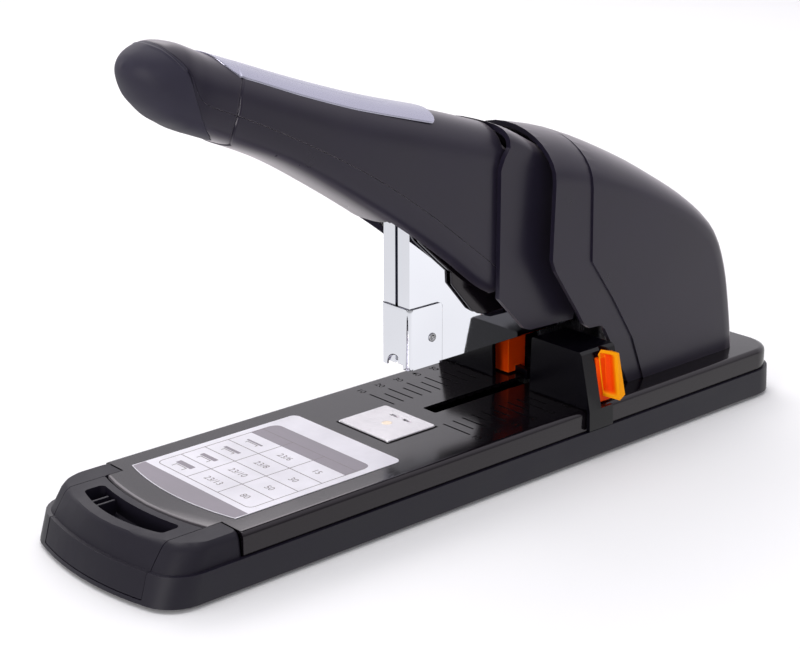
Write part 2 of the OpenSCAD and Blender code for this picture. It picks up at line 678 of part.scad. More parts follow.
// Guide: a gate of two hollow arms with lugs over the deck's edges and a low bridge behind.
arm_line = [[arm_in, fit], [arm_in + 0.8, guide_h - 0.6], [arm_in + 1.4, guide_h], [arm_top_y - 1.2, guide_h],
            [arm_top_y, guide_h - 1], [arm_top_y + 3.2, 9], [arm_foot_y - 0.3, 0], [arm_foot_y, lug_z],
            [lug_in, lug_z], [lug_in, fit]];
module guide_arm() {
  difference() {
    translate([g0, 0, 0]) rotate([90, 0, 90]) linear_extrude(guide_len) polygon(arm_line);
    translate([g0 + guide_wall, 0, 0]) rotate([90, 0, 90]) linear_extrude(guide_len - 2 * guide_wall)
      polygon([
        [arm_in - 1, -1], [arm_top_y + 1.4, -1], [arm_top_y + 1.4, 8],
        [arm_top_y - guide_wall, guide_h - guide_wall], [arm_in - 1, guide_h - guide_wall]
      ]);
    box(g0 + 13.5, g1 + 1, arm_top_y - 2, big, lug_z - 1, 3);
    translate([g1 + 0.6, arm_top_y + 2, 3]) rotate([0, 0, back_lean]) translate([-9.4, 0, 0])
      cube([20, 20, 40]);
    box(bar_x0 - fit, bar_x1 + fit, arm_in, big, bar_z0 - 0.5, bar_z1 + fit);
  }
  box(g0 + guide_wall - eps, bar_x0 - fit, spring_stop - stop_t, spring_stop, fit,
      guide_h - guide_wall + eps);
}
module depth_guide() color(black) deck_frame() difference() {
  union() {
    twin() guide_arm();
    box(g1 - eps, bridge_x1, -bridge_hw, bridge_hw, fit, bridge_z);
    twin() box(bar_x1 + fit, g1, arm_in, bridge_hw, fit, bridge_z);
  }
  at_guide_screws() guide_screw_hole(bridge_z - 1.2);
}
module guide_screw_hole(top) translate([0, 0, top - 20])
  cylinder(r = guide_screw_r + seat_gap, h = 20, $fn = 24);

// Keeper: plate under the deck with a neck that runs in the slot.
module at_guide_screws() for (x = [neck_x0 + 1.6, neck_x1 - 1.6]) translate([x, 0, 0]) children();
module guide_keeper() color(steel) deck_frame() difference() {
  union() {
    box(neck_x0 - 8, neck_x1 + 3, -keeper_hw, keeper_hw, -deck_t - neck_gap - keeper_t, -deck_t - neck_gap);
    box(neck_x0, neck_x1, -slot_w / 2 + neck_gap, slot_w / 2 - neck_gap, -deck_t - 1, fit);
  }
  at_guide_screws() guide_screw_hole(1);
}
module guide_screws() color(steel) deck_frame() at_guide_screws()
  translate([0, 0, -deck_t - neck_gap - keeper_t]) {
    translate([0, 0, -guide_screw_h]) cylinder(r = guide_screw_r + 0.4, h = guide_screw_h, $fn = 24);
    cylinder(r = guide_screw_r, h = deck_t + neck_gap + keeper_t + bridge_z - 1.6, $fn = 24);
  }

// Latch: bar through an arm, with an ear for its spring and a tooth in the slot.
tooth_x = bar_x0 + 4;
tooth_w = 3;
tooth_in = 1.6;
tooth_gap = 0.3;
latch_ear_out = arm_top_y - guide_wall - 0.2;
latch_ear_t = 2.4;
module latch_bar() difference() {
  union() {
    box(bar_x0, bar_x1, bar_in, bar_out, bar_z0, bar_z1);
    box(bar_x0 - 4.4, bar_x0 + eps, latch_ear_out - latch_ear_t, latch_ear_out, 4, 16);
    box(tooth_x, tooth_x + tooth_w, tooth_in, bar_in + 1, bar_z0, bar_z0 + 2.2);
    box(tooth_x, tooth_x + tooth_w, tooth_in, slot_w / 2 - tooth_gap, -deck_t, bar_z0 + 1);
  }
  box(bar_x0 + bar_wall, bar_x1 - bar_wall, arm_in + 4, bridge_hw, bar_z0 + bar_wall, bar_z1 + 1);
}

// Button: a leaning block with a finger dish, on two stems from the bar.
button_out = arm_top_y + 5.2;
button_lean = 9.4;
button_side = [[7.4, 22.6], [15.4, 22.2], [17.4, 13], [17.2, 5], [14.6, 3], [6.4, 3.6], [5, 5], [6.2, 16],
               [6.6, 21.6]];
button_end = [[arm_top_y + 0.8 + latch_travel, 24], [button_out - 1.2, 24], [button_out, 21.4],
              [button_out + 3.2, 4.6], [button_out + 2.6, 2], [arm_top_y + 5.4 + latch_travel, 2]];
dish_r = 15;
dish_depth = 1.4;
stem_side = 2.4;
module latch_button() {
  difference() {
    translate([g0, 0, 0]) intersection() {
      side_prism(button_side, arm_top_y, deck_hw + 9);
      rotate([90, 0, 90]) linear_extrude(big) polygon(button_end);
    }
    translate([g0 + 11.6, button_out + 2.6 + dish_r - dish_depth, 7]) rotate([button_lean, 0, 0])
      cylinder(r = dish_r, h = 13, $fn = 96);
  }
  box(bar_x0 + stem_side, bar_x1 - stem_side, bar_out, bar_out + 2.8 + latch_travel, 6, 9.5);
  box(bar_x0 + stem_side, bar_x1 - stem_side, bar_out, bar_out + 1.8 + latch_travel, 11.5, 15);
}
module latch_spring() translate([g0 + 4.6, spring_stop + 0.1, 10]) rotate([-90, 0, 0])
  coil(2.1, 0.5, latch_ear_out - latch_ear_t - 0.2 - spring_stop - 0.1, 9);

module latch_bar_left() color(orange) deck_frame() latch_bar();
module latch_bar_right() color(orange) deck_frame() mirror([0, 1, 0]) latch_bar();
module latch_button_left() color(orange) deck_frame() latch_button();
module latch_button_right() color(orange) deck_frame() mirror([0, 1, 0]) latch_button();
module latch_spring_left() color(steel) deck_frame() latch_spring();
module latch_spring_right() color(steel) deck_frame() mirror([0, 1, 0]) latch_spring();

// ---- magazine, staples and driver ---------------------------------------

mag_hw = mag_w / 2;
mag_in = mag_hw - mag_t;
slit = 1.5;
front_x = -0.5;
mag_rear = hinge_x + 7;
mag_foot = hinge_z - 5;
wall_top = mag_gap + 19;
pin_x = 3.4;
pin_z = 92;
pin_r = 1.8;
pin_hl = mag_hw + 3.25;
stroke = 12;
channel_side = [
  [front_x - mag_t, mag_gap], [hinge_x - 14, mag_gap], [hinge_x - 7, mag_foot], [mag_rear, mag_foot],
  [mag_rear, wall_top], [64, wall_top], [30, 62], [15.5, post_top], [front_x - mag_t, post_top]
];

// Channel: floor and two tall side plates whose front edges turn in round the driver.
module magazine_channel() color(chrome) deck_frame() difference() {
  union() {
    twin() side_prism(channel_side, mag_in, mag_hw);
    twin() box(front_x - mag_t, front_x, slit / 2, mag_hw, mag_gap + 1, post_top);
    box(1.6, mag_rear - 2, -mag_in - eps, mag_in + eps, mag_gap, mag_gap + mag_t);
  }
  at_hinge() cross_bar(hinge_r + running, -big / 2, big / 2);
  box(pin_x - pin_r - fit, pin_x + pin_r + fit, -big / 2, big / 2, pin_z - stroke - pin_r - 0.5,
      post_top + 1);
  at_head_rivets() cross_bar(head_rivet_r + seat_gap, -big / 2, big / 2);
}

// Head: chromed wrap round the magazine's mouth, with a half-round window at its foot.
head_hw = mag_hw + 0.85;
head_top = mag_gap + 24;
head_foot = mag_gap - 0.3;
head_x1 = 15;
head_round = 1.8;
head_rivet_r = 1.5;
window_r = 4.6;
module at_head_rivets() translate([9.6, 0, mag_gap + 11]) children();
module head_block() color(chrome) deck_frame() difference() {
  translate([0, 0, head_foot]) linear_extrude(head_top - head_foot) difference() {
    hull() {
      translate([head_x1 - 1, -head_hw]) square([1, 2 * head_hw]);
      for (s = [-1, 1]) translate([-0.4, s * (head_hw - head_round)]) circle(r = head_round, $fn = 32);
    }
    translate([front_x - mag_t - 0.1, -mag_hw - running]) square([30, 2 * (mag_hw + running)]);
  }
  translate([-9, 0, head_foot]) rotate([0, 90, 0]) cylinder(r = window_r, h = 12, $fn = 64);
  at_head_rivets() cross_bar(head_rivet_r + seat_gap, -big / 2, big / 2);
}
module head_rivets() color(steel) deck_frame() at_head_rivets() twin() {
  cross_bar(head_rivet_r, mag_in + 0.1, head_hw + 0.2);
  cross_bar(head_rivet_r + 0.8, head_hw + seat_gap, head_hw + 0.35);
}

// Rail, staples and pusher share the rail's section.
floor_z = mag_gap + mag_t;
rail_wall = 1;
rail_hw = staple_w / 2 - 1;
rail_top = floor_z + staple_leg;
module staple_rail() color(steel) deck_frame() difference() {
  box(1.8, mag_rear - 6, -rail_hw, rail_hw, floor_z, rail_top - 0.2);
  box(4, mag_rear - 12, -rail_hw + rail_wall, rail_hw - rail_wall, floor_z + rail_wall,
      rail_top - 0.2 - rail_wall);
}
strip_x = front_x + 1.45;
push_len = 20;
module staple_strip() color(silver) deck_frame() difference() {
  box(strip_x, strip_x + strip_len, -staple_w / 2, staple_w / 2, floor_z + fit, rail_top + 0.7);
  box(strip_x - 1, strip_x + 1 + strip_len, -rail_hw - 0.2, rail_hw + 0.2, mag_gap - 1, rail_top + running);
}
push_x = strip_x + strip_len + fit;
module staple_pusher() color(satin) deck_frame() difference() {
  box(push_x, push_x + push_len, -staple_w / 2, staple_w / 2, floor_z + 0.5, rail_top + 5);
  box(push_x - 1, push_x + push_len + 1, -rail_hw - 0.2, rail_hw + 0.2, mag_gap - 1, rail_top + 0.1);
}
spring_x = push_x + push_len + 0.2;
module pusher_spring() color(steel) deck_frame() translate([spring_x, 0, rail_top + 2.6])
  rotate([0, 90, 0]) coil(2.3, 0.5, mag_rear - spring_x - 4, 22);

// Driver: blade in the post's slot, with a block on top that carries the cross pin.
blade_t = 1.2;
blade_x = front_x + 0.1;
blade_hw = mag_in - 0.15;
driver_top = 97;
module driver_blade() color(steel) deck_frame() difference() {
  union() {
    box(blade_x, blade_x + blade_t, -blade_hw, blade_hw, rail_top + 1.2, driver_top);
    box(blade_x, pin_x + 4.6, -blade_hw + 0.25, blade_hw - 0.25, 84, driver_top);
  }
  translate([pin_x, 0, pin_z]) cross_bar(pin_r + seat_gap, -big / 2, big / 2);
}
module driver_pin() color(steel) deck_frame() translate([pin_x, 0, pin_z]) cross_bar(pin_r, -pin_hl, pin_hl);

// ---- handle -------------------------------------------------------------

// Rows along the handle's axis: [s, top, bottom, half width, edge squareness above, below, seam].
tip_s = 8.5;
handle_rows = [
  [0, 8.6, 7.4, 0.6, 2.0, 2.0, 8.4],
  [1.2, 12.2, 4.2, 5.4, 2.0, 2.0, 8.6],
  [4, 15.8, 0.9, 9.6, 2.0, 2.0, 8.6],
  [9, 18.9, -3.0, 13.2, 2.1, 2.1, 7.6],
  [16, 20.2, -6.0, 15.4, 2.2, 2.3, 5.2],
  [22, 20.1, -7.1, 15.9, 2.25, 2.5, 3.5],
  [28, 19.9, -7.8, 16.2, 2.3, 2.6, 3.1],
  [44, 20.5, -7.8, 16.2, 2.3, 2.8, 2.8],
  [70, 21.8, -9.0, 16.3, 2.3, 3.0, 0.9],
  [102, 24.0, -14.4, 16.6, 2.4, 3.0, -3.0],
  [131, 26.5, -20.6, handle_hw - 0.3, 2.4, 3.0, -9.1],
  [155, 28.6, -27.0, handle_hw, 2.5, 3.0, -15.8],
  [176, 30.2, -33.6, handle_hw, 2.6, 3.0, -22.0],
  [192, 31.0, -35.0, handle_hw, 2.6, 3.0, -26.5]
];
upper_h = 17;
lower_h = 11;
seam_gap = 0.1;
function crown(r) = min(upper_h, (r[1] - r[2]) / 2);
function keel(r) = min(lower_h, r[6] - 0.4 - r[2], (r[1] - r[2]) / 2);

// Points of a row's outline at angle a, moved in by d: above the seam and below it.
function over(r, a, d) =
  [r[0], (r[3] - d) * bulge(cos(a), r[4]), r[1] - crown(r) + (crown(r) - d) * bulge(sin(a), r[4])];
function under(r, a, d) =
  [r[0], (r[3] - d) * bulge(cos(a), r[5]), r[2] + keel(r) + (keel(r) - d) * bulge(sin(a), r[5])];

// Full outline of the handle across its axis.
function hand_ring(r, n) = concat(
  [for (k = [0:n]) over(r, 180 * k / n, 0)],
  [for (k = [0:n]) under(r, 180 + 180 * k / n, 0) - [0, 0, eps]]
);
// Hollow outlines of the two shells: out along the skin, back along its inside.
function upper_line(r, n, d) = let (foot = r[6] + seam_gap) concat(
  [[r[0], r[3] - d, foot]],
  [for (k = [0:n]) over(r, 180 * k / n, d)],
  [[r[0], -r[3] + d, foot]]
);
function lower_line(r, n, d) = let (brow = r[6] - seam_gap) concat(
  [[r[0], -r[3] + d, brow]],
  [for (k = [0:n]) under(r, 180 + 180 * k / n, d)],
  [[r[0], r[3] - d, brow]]
);
function flip(p) = [for (i = [len(p) - 1:-1:0]) p[i]];
function upper_ring(r, n) = concat(upper_line(r, n, 0), flip(upper_line(r, n, shell_wall)));
function lower_ring(r, n) = concat(lower_line(r, n, 0), flip(lower_line(r, n, shell_wall)));

// Handle's own frame: s along the axis from the tip, t square to it.
module hand_frame() deck_frame() translate([-130, 0, 150]) rotate([0, handle_lean, 0])
  translate([tip_s, 0, 0]) children();

// The grip in front of step_s is a little slimmer than the rest.
hand_n = 14;
step_s = 39;
step_h = 0.3;
hand_smooth = spline(handle_rows, 2);
function slim(r) = [r[0], r[1], r[2] + step_h, r[3] - step_h, r[4], r[5], r[6]];
function row_at(s) = [for (c = [0:6]) c == 0 ? s : at(hand_smooth, s, c)];
hand_all = concat(
  [for (r = hand_smooth) if (r[0] < step_s - 1) r[0] < 12 ? r : slim(r)],
  [slim(row_at(step_s)), row_at(step_s + step_h)],
  [for (r = hand_smooth) if (r[0] > step_s + 1) r]
);
function rows_from(p, s0, s1) = [for (r = p) if (r[0] >= s0 && r[0] <= s1) r];

// Slanted joint between the soft tip and the shells.
tip_cut = [[2, 24], [7, 17.8], [15, 13.3], [22.3, 6.5], [28.3, -0.8], [34, -6], [42, -12], [-20, -12],
           [-20, 24]];
tip_gap = 0.15;
module tip_space(gap) translate([gap, 0, 0]) side_prism(tip_cut, -big / 2, big / 2);

module handle_tip() color(black) hand_frame() {
  intersection() {
    skin([for (r = rows_from(hand_all, 0, 60)) hand_ring(r, hand_n)]);
    tip_space(0);
  }
  box(12, 46, -8, 8, -3, 3);
  box(8, 46, -8, 8, 3, 9);
}
root_cut = [[38.4, 140], [38.4, 104.4], [51, 98.5], [58, 90], [58, 10], [140, 10], [140, 140]];
module handle_upper() color(satin) difference() {
  hand_frame() skin([for (r = rows_from(hand_all, 4, 200)) upper_ring(r, hand_n)], true);
  hand_frame() tip_space(tip_gap);
  deck_frame() side_prism(root_cut, -big / 2, big / 2);
}
// Lower shell: closed under the grip, then open between its skirts for the post.
open_s = 122;
open_hw = 12.2;
screw_s = [56, 112];
hand_screw_r = 1.9;
module handle_lower() color(satin) hand_frame() difference() {
  skin([for (r = rows_from(hand_all, 21, 184)) lower_ring(r, hand_n)], true);
  tip_space(tip_gap);
  box(open_s, 210, -open_hw, open_hw, -60, 12);
  for (s = screw_s) translate([s, 0, -60]) cylinder(r = hand_screw_r + 0.1, h = 80, $fn = 24);
}
module handle_screws() color(steel) hand_frame() for (s = screw_s)
  translate([s, 0, at(handle_rows, s, 2) + 0.4]) cylinder(r = hand_screw_r, h = 15, $fn = 24);

// Inlay: thin silver strip bedded on the crown of the upper shell.
inlay_s0 = 38;
inlay_s1 = 143;
inlay_bed = 0.25;
inlay_top = 0.9;
inlay_angle = 50;
inlay_rows = [for (r = spline(handle_rows, 4)) if (r[0] > inlay_s0 && r[0] < inlay_s1) r];
function inlay_spread(s) = inlay_angle * sqrt(max(0.02, 1 - pow(max(0, (s - inlay_s1 + 15) / 16), 2)));
function inlay_ring(r) = let (q = inlay_spread(r[0])) concat(
  [for (k = [0:8]) over(r, 90 - q + 2 * q * k / 8, -inlay_top)],
  [for (k = [8:-1:0]) over(r, 90 - q + 2 * q * k / 8, -inlay_bed)]
);
module handle_inlay() color(silver) hand_frame() skin([for (r = inlay_rows) inlay_ring(r)], true);

// Hood: arch over the handle's root that turns with it inside the cover.
hood_line = [[24, 117], [36, 114.6], [46, 110.8], [56, 105.4], [70, 98.4], [84, 94], [96, 82], [98, 60],
             [98, 10]];
hood_edge = 8;
hood_square = 3;
hood_rear_r = 21;
hood_top = [for (p = hood_line) [p[0], p[1], hood_hw, hood_edge, hood_square]];
hood_side = concat(
  [[34.3, 120], [38.9, 113], [38.9, 105.5], [36.2, 102], [34.2, 97.5], [34.2, 46.5], [48.3, 31.6],
   [51.5, 30.4], [76, 29.6], [82, 58]],
  arc(pivot_x, pivot_z, hood_rear_r, -60, 100, 16),
  [[66, 120]]
);
module handle_hood() color(satin) deck_frame() difference() {
  intersection() {
    arch_block(hood_top, 3, 16, 0, [24, 10], hood_hw);
    side_prism(hood_side, -big / 2, big / 2);
  }
  translate([-eps, 0, 0]) arch_block(hood_top, 3, 14, shell_wall, [20, 5], hood_hw - shell_wall);
  at_pivot() cross_bar(pivot_r + 0.4, -big / 2, big / 2);
}

// Lever: painted steel channel inside the handle, from the main pin to the grip.
lever_in = mag_hw + 0.95;
lever_out = lever_in + 1.2;
lever_eye = 10;
lever_back = [[60, 96], [20, 107], [-8, 114], [-62, 131]];
lever_side = concat(
  [[-62, 124], [-30, 104], [-8, 88], [2.1, 73.3], [12.3, 63.8], [18.6, 58.2], [18.9, 53.3], [29.4, 40.9],
   [32.7, 38.8], [35.4, 38], [56, 38], [66, 48]],
  arc(pivot_x, pivot_z, lever_eye, -60, 80, 12),
  lever_back
);
lever_web = concat(lever_back, [for (i = [3:-1:0]) lever_back[i] - [0, 2]]);
pin_track = [[5.6, 89.8], [5.6, 94.3], [0.9, 94.9], [-2.5, 96.9], [-7.4, 99.6], [-7.4, 93.4], [-4, 92.2],
             [0, 90.4]];
module handle_lever() color(black) deck_frame() difference() {
  union() {
    twin() side_prism(lever_side, lever_in, lever_out);
    side_prism(lever_web, -lever_in - eps, lever_in + eps);
  }
  at_pivot() cross_bar(pivot_r + running, -big / 2, big / 2);
  side_prism(pin_track, -big / 2, big / 2);
}

press_spring_len = hood_hw - shell_wall - lever_out - 1;
press_spring_r = 6;
spring_y = -lever_out - 0.4 - press_spring_len;
module handle_spring() color(steel) deck_frame() at_pivot() translate([0, spring_y, 0]) rotate([-90, 0, 0])
  coil(press_spring_r, 1.4, press_spring_len, 4);

base_tray();
rubber_feet();
base_screws();
deck_plate();
nose_cap();
staple_drawer();
anvil_seat();
anvil_plate();
anvil_rivet();
guide_table_label();
rear_frame();
frame_screws();
rear_cover();
cover_screws();
main_pivot_pin();
pivot_clips();
magazine_pin();
lift_spring();
depth_guide();
guide_keeper();
guide_screws();
latch_bar_left();
latch_bar_right();
latch_button_left();
latch_button_right();
latch_spring_left();
latch_spring_right();
magazine_channel();
head_block();
head_rivets();
staple_rail();
staple_strip();
staple_pusher();
pusher_spring();
driver_blade();
driver_pin();
handle_upper();
handle_lower();
handle_tip();
handle_inlay();
handle_hood();
handle_lever();
handle_screws();
handle_spring();
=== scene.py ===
import math

import bpy
import numpy as np
from mathutils import Matrix, Vector


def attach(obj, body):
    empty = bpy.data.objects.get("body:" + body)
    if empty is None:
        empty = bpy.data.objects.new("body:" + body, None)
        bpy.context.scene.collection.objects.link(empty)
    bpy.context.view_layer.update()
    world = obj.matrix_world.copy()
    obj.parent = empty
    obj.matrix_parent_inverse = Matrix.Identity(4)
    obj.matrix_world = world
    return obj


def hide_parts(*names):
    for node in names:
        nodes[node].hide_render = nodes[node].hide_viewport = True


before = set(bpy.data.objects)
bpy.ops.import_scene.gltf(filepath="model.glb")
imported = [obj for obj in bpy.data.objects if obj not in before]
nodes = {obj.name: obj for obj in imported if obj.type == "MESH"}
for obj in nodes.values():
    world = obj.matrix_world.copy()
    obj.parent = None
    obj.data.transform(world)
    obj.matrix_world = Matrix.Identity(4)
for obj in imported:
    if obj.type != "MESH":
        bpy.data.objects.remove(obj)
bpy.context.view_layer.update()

# ---------------------------------------------------------------------------------------------
# The table it stands on and the studio round it: a white paper sweep, whose reflection is painted
# light that glows and is dimmed on the camera's side as painted shade, a wide pale room that is
# brightest behind the object and overhead, and four soft lamps. The lens is long, without blur.
# ---------------------------------------------------------------------------------------------
scene = bpy.context.scene
scene.view_settings.view_transform = "Standard"


def node_tree(owner):
    """The emptied node tree of a material or world, with its nodes and links ready to fill."""
    owner.use_nodes = True
    tree = owner.node_tree
    tree.nodes.clear()
    return tree


def add(tree, kind, **settings):
    """A new node of that kind. Settings named in_N fill input N, all others are attributes."""
    node = tree.nodes.new("ShaderNode" + kind)
    for key, value in settings.items():
        if key.startswith("in_"):
            name = key[3:]
            node.inputs[int(name) if name.isdigit() else name.replace("_", " ")].default_value = value
        else:
            setattr(node, key, value)
    return node


def mesh_object(name, vertices, faces, material=None, smooth=True):
    """A mesh object in metres from an array of corners and rows of corner numbers."""
    mesh = bpy.data.meshes.new(name)
    mesh.from_pydata(np.asarray(vertices, float).tolist(), [], [list(map(int, f)) for f in faces])
    mesh.polygons.foreach_set("use_smooth", np.full(len(mesh.polygons), smooth))
    if material:
        mesh.materials.append(material)
    mesh.update()
    piece = bpy.data.objects.new(name, mesh)
    scene.collection.objects.link(piece)
    return piece


floor_paper = bpy.data.materials.new("floor_paper")
tree = node_tree(floor_paper)
ray = add(tree, "LightPath")
seen = add(tree, "Math", operation="MAXIMUM")
tree.links.new(ray.outputs["Is Glossy Ray"], seen.inputs[0])
tree.links.new(ray.outputs["Is Transmission Ray"], seen.inputs[1])
paper = add(tree, "BsdfDiffuse", in_Color=(0.94, 0.94, 0.94, 1))
# In reflections the paper is swapped for painted light: it glows brighter towards -Y and is dimmed on the
# camera's side as painted shade.
where = add(tree, "NewGeometry")
toward = add(tree, "VectorMath", operation="DOT_PRODUCT", in_1=(0.5, -0.85, 0.0))
bright = add(tree, "MapRange", in_From_Min=-0.3, in_From_Max=0.3, in_To_Min=0.76, in_To_Max=0.97)
tree.links.new(where.outputs["Position"], toward.inputs[0])
tree.links.new(toward.outputs["Value"], bright.inputs["Value"])
lit = add(tree, "Emission", in_Color=(1, 1, 1, 1))
near = add(tree, "VectorMath", operation="DOT_PRODUCT", in_1=(-0.66, -0.75, 0.0))
dim = add(tree, "MapRange", interpolation_type="SMOOTHSTEP",
          in_From_Min=0.12, in_From_Max=0.5, in_To_Min=1.0, in_To_Max=0.42)
shade = add(tree, "Math", operation="MULTIPLY")
tree.links.new(where.outputs["Position"], near.inputs[0])
tree.links.new(near.outputs["Value"], dim.inputs["Value"])
tree.links.new(bright.outputs[0], shade.inputs[0])
tree.links.new(dim.outputs[0], shade.inputs[1])
tree.links.new(shade.outputs[0], lit.inputs["Strength"])
both = add(tree, "MixShader")
tree.links.new(seen.outputs[0], both.inputs[0])
tree.links.new(paper.outputs[0], both.inputs[1])
tree.links.new(lit.outputs[0], both.inputs[2])
tree.links.new(both.outputs[0], add(tree, "OutputMaterial").inputs[0])

LINES = 25
u = np.linspace(-6.0, 6.0, LINES)
ground = np.array([[x, y, 0.0] for x in u for y in u])
index = np.arange((LINES - 1) * LINES).reshape(LINES - 1, LINES)[:, :LINES - 1].ravel()
squares = np.stack([index, index + LINES, index + LINES + 1, index + 1], 1)
floor = mesh_object("floor", ground, squares, floor_paper)

world = bpy.data.worlds.new("studio")
scene.world = world
tree = node_tree(world)
ray = add(tree, "LightPath")
seen = add(tree, "Math", operation="MAXIMUM")
tree.links.new(ray.outputs["Is Camera Ray"], seen.inputs[0])
tree.links.new(ray.outputs["Is Transmission Ray"], seen.inputs[1])
way = add(tree, "TexCoord")
behind = add(tree, "VectorMath", operation="DOT_PRODUCT", in_1=(0.58, 0.66, 0.48))
tree.links.new(way.outputs["Generated"], behind.inputs[0])
wall = add(tree, "MapRange", interpolation_type="SMOOTHSTEP",
           in_From_Min=-0.25, in_From_Max=0.45, in_To_Min=0.30, in_To_Max=1.02)
tree.links.new(behind.outputs["Value"], wall.inputs["Value"])
room = add(tree, "Background", in_Color=(0.965, 0.95, 1.0, 1))
tree.links.new(wall.outputs[0], room.inputs["Strength"])
white = add(tree, "Background", in_Color=(1, 1, 1, 1), in_Strength=1.0)
both = add(tree, "MixShader")
tree.links.new(seen.outputs[0], both.inputs[0])
tree.links.new(room.outputs[0], both.inputs[1])
tree.links.new(white.outputs[0], both.inputs[2])
tree.links.new(both.outputs[0], add(tree, "OutputWorld").inputs[0])


def lamp(name, at, aim, size, watts, colour=(1, 1, 1)):
    """A rectangular soft lamp at a point, turned towards another."""
    data = bpy.data.lights.new(name, "AREA")
    data.shape = "RECTANGLE"
    data.size, data.size_y = size
    data.energy = watts
    data.color = colour
    piece = bpy.data.objects.new(name, data)
    piece.location = at
    piece.rotation_euler = (Vector(aim) - Vector(at)).to_track_quat("-Z", "Y").to_euler()
    scene.collection.objects.link(piece)


middle = (0.0, 0.0, 0.08)
lamp("top_lamp", (0.0, 0.15, 1.35), middle, (1.2, 0.8), 4.4)
lamp("front_lamp", (-1.25, -0.35, 0.36), middle, (0.5, 0.35), 5.5, (1.0, 0.98, 0.97))
lamp("left_lamp", (0.35, 1.05, 0.95), middle, (1.1, 0.6), 5.0, (1.0, 0.96, 0.97))
lamp("right_lamp", (-0.35, -1.2, 0.8), middle, (0.9, 0.6), 2.2, (0.95, 0.96, 1.0))

look = Vector((0.6294, 0.7089, -0.3181)).normalized()
side = look.cross(Vector((0, 0, 1))).normalized()
rise = side.cross(look)
roll = math.radians(-0.14)
camera_data = bpy.data.cameras.new("camera")
SENSOR_MM, FOCAL_PX, WIDTH_PX = 36.0, 1863.3, 800.0
camera_data.sensor_width = SENSOR_MM
camera_data.lens = FOCAL_PX * SENSOR_MM / WIDTH_PX
camera = bpy.data.objects.new("camera", camera_data)
turn = Matrix((side * math.cos(roll) + rise * math.sin(roll),
               rise * math.cos(roll) - side * math.sin(roll), -look)).transposed()
camera.matrix_world = Matrix.Translation((-0.4671, -0.5052, 0.28715)) @ turn.to_4x4()
scene.collection.objects.link(camera)
scene.camera = camera


# ---------------------------------------------------------------------------------------------
# Base tray and rubber feet: a shallow injection-moulded tray in satin black ABS, with a fine
# spark-eroded grain outside, standing on four moulded rubber feet.
# ---------------------------------------------------------------------------------------------
MM = 0.001


def grained(name, colour, roughness, grain_mm, depth, spread=0.15, specular=0.5, wear_and_highlight=0.25,
            worn_and_lit=None, tint=(1, 1, 1), sheen=0.0):
    """A moulded or painted surface: fine grain as bump, cloudy colour and gloss, and edges lighter, partly
    from rubbing and partly as a painted highlight.

    colour is the surface's own, grain_mm the size of its grain, depth its bump in millimetres, spread
    how much the gloss wanders, and the edge weight how far the edges go towards the lighter edge colour.
    tint colours the mirror of the surface and sheen is the weight of its dusty rim light.
    """
    material = bpy.data.materials.new(name)
    tree = node_tree(material)
    link = tree.links.new
    place_at = add(tree, "TexCoord")
    cloud = add(tree, "TexNoise", in_Scale=38.0, in_Detail=5.0, in_Roughness=0.6)
    grain = add(tree, "TexNoise", in_Scale=1000.0 / grain_mm, in_Detail=2.0, in_Roughness=0.5)
    for texture in (cloud, grain):
        link(place_at.outputs["Object"], texture.inputs["Vector"])
    tone = add(tree, "ValToRGB")
    tone.color_ramp.elements[0].color = [c * 0.88 for c in colour] + [1]
    tone.color_ramp.elements[1].color = [min(1.0, c * 1.12) for c in colour] + [1]
    tone.color_ramp.elements[0].position = 0.3
    tone.color_ramp.elements[1].position = 0.7
    link(cloud.outputs["Fac"], tone.inputs[0])
    soft_edge = add(tree, "Bevel", samples=3, in_Radius=0.0005)
    flat = add(tree, "NewGeometry")
    same = add(tree, "VectorMath", operation="DOT_PRODUCT")
    link(soft_edge.outputs[0], same.inputs[0])
    link(flat.outputs["Normal"], same.inputs[1])
    # Edges go towards a lighter colour: partly rubbing, partly a painted highlight.
    edge = add(tree, "MapRange", in_From_Min=0.985, in_From_Max=0.80, in_To_Min=0.0, in_To_Max=wear_and_highlight)
    link(same.outputs["Value"], edge.inputs["Value"])
    rubbed_and_lit = add(tree, "MixRGB", in_Color2=list(worn_and_lit or [min(1.0, c * 2.0 + 0.02) for c in colour]) + [1])
    link(edge.outputs[0], rubbed_and_lit.inputs["Fac"])
    link(tone.outputs[0], rubbed_and_lit.inputs["Color1"])
    gloss = add(tree, "MapRange", in_From_Min=0.25, in_From_Max=0.75,
                in_To_Min=roughness * (1 - spread), in_To_Max=roughness * (1 + spread))
    link(cloud.outputs["Fac"], gloss.inputs["Value"])
    bump = add(tree, "Bump", in_Strength=1.0, in_Distance=depth * MM)
    link(grain.outputs["Fac"], bump.inputs["Height"])
    shader = add(tree, "BsdfPrincipled")
    shader.inputs["Specular IOR Level"].default_value = specular
    shader.inputs["Specular Tint"].default_value = list(tint) + [1]
    shader.inputs["Sheen Weight"].default_value = sheen
    shader.inputs["Sheen Roughness"].default_value = 0.35
    shader.inputs["Sheen Tint"].default_value = (1.0, 0.9, 0.96, 1)
    link(rubbed_and_lit.outputs[0], shader.inputs["Base Color"])
    link(gloss.outputs[0], shader.inputs["Roughness"])
    link(bump.outputs[0], shader.inputs["Normal"])
    link(shader.outputs[0], add(tree, "OutputMaterial").inputs[0])
    return material


def soften(piece, edge_mm, limit=34):
    """Small rounded edges, and shading that keeps broad faces flat."""
    if edge_mm:
        bevel = piece.modifiers.new("edges", "BEVEL")
        bevel.width = edge_mm * MM
        bevel.segments = 2
        bevel.limit_method = "ANGLE"
        bevel.angle_limit = math.radians(limit)
        bevel.use_clamp_overlap = True
    normals = piece.modifiers.new("shade", "WEIGHTED_NORMAL")
    normals.weight = 60


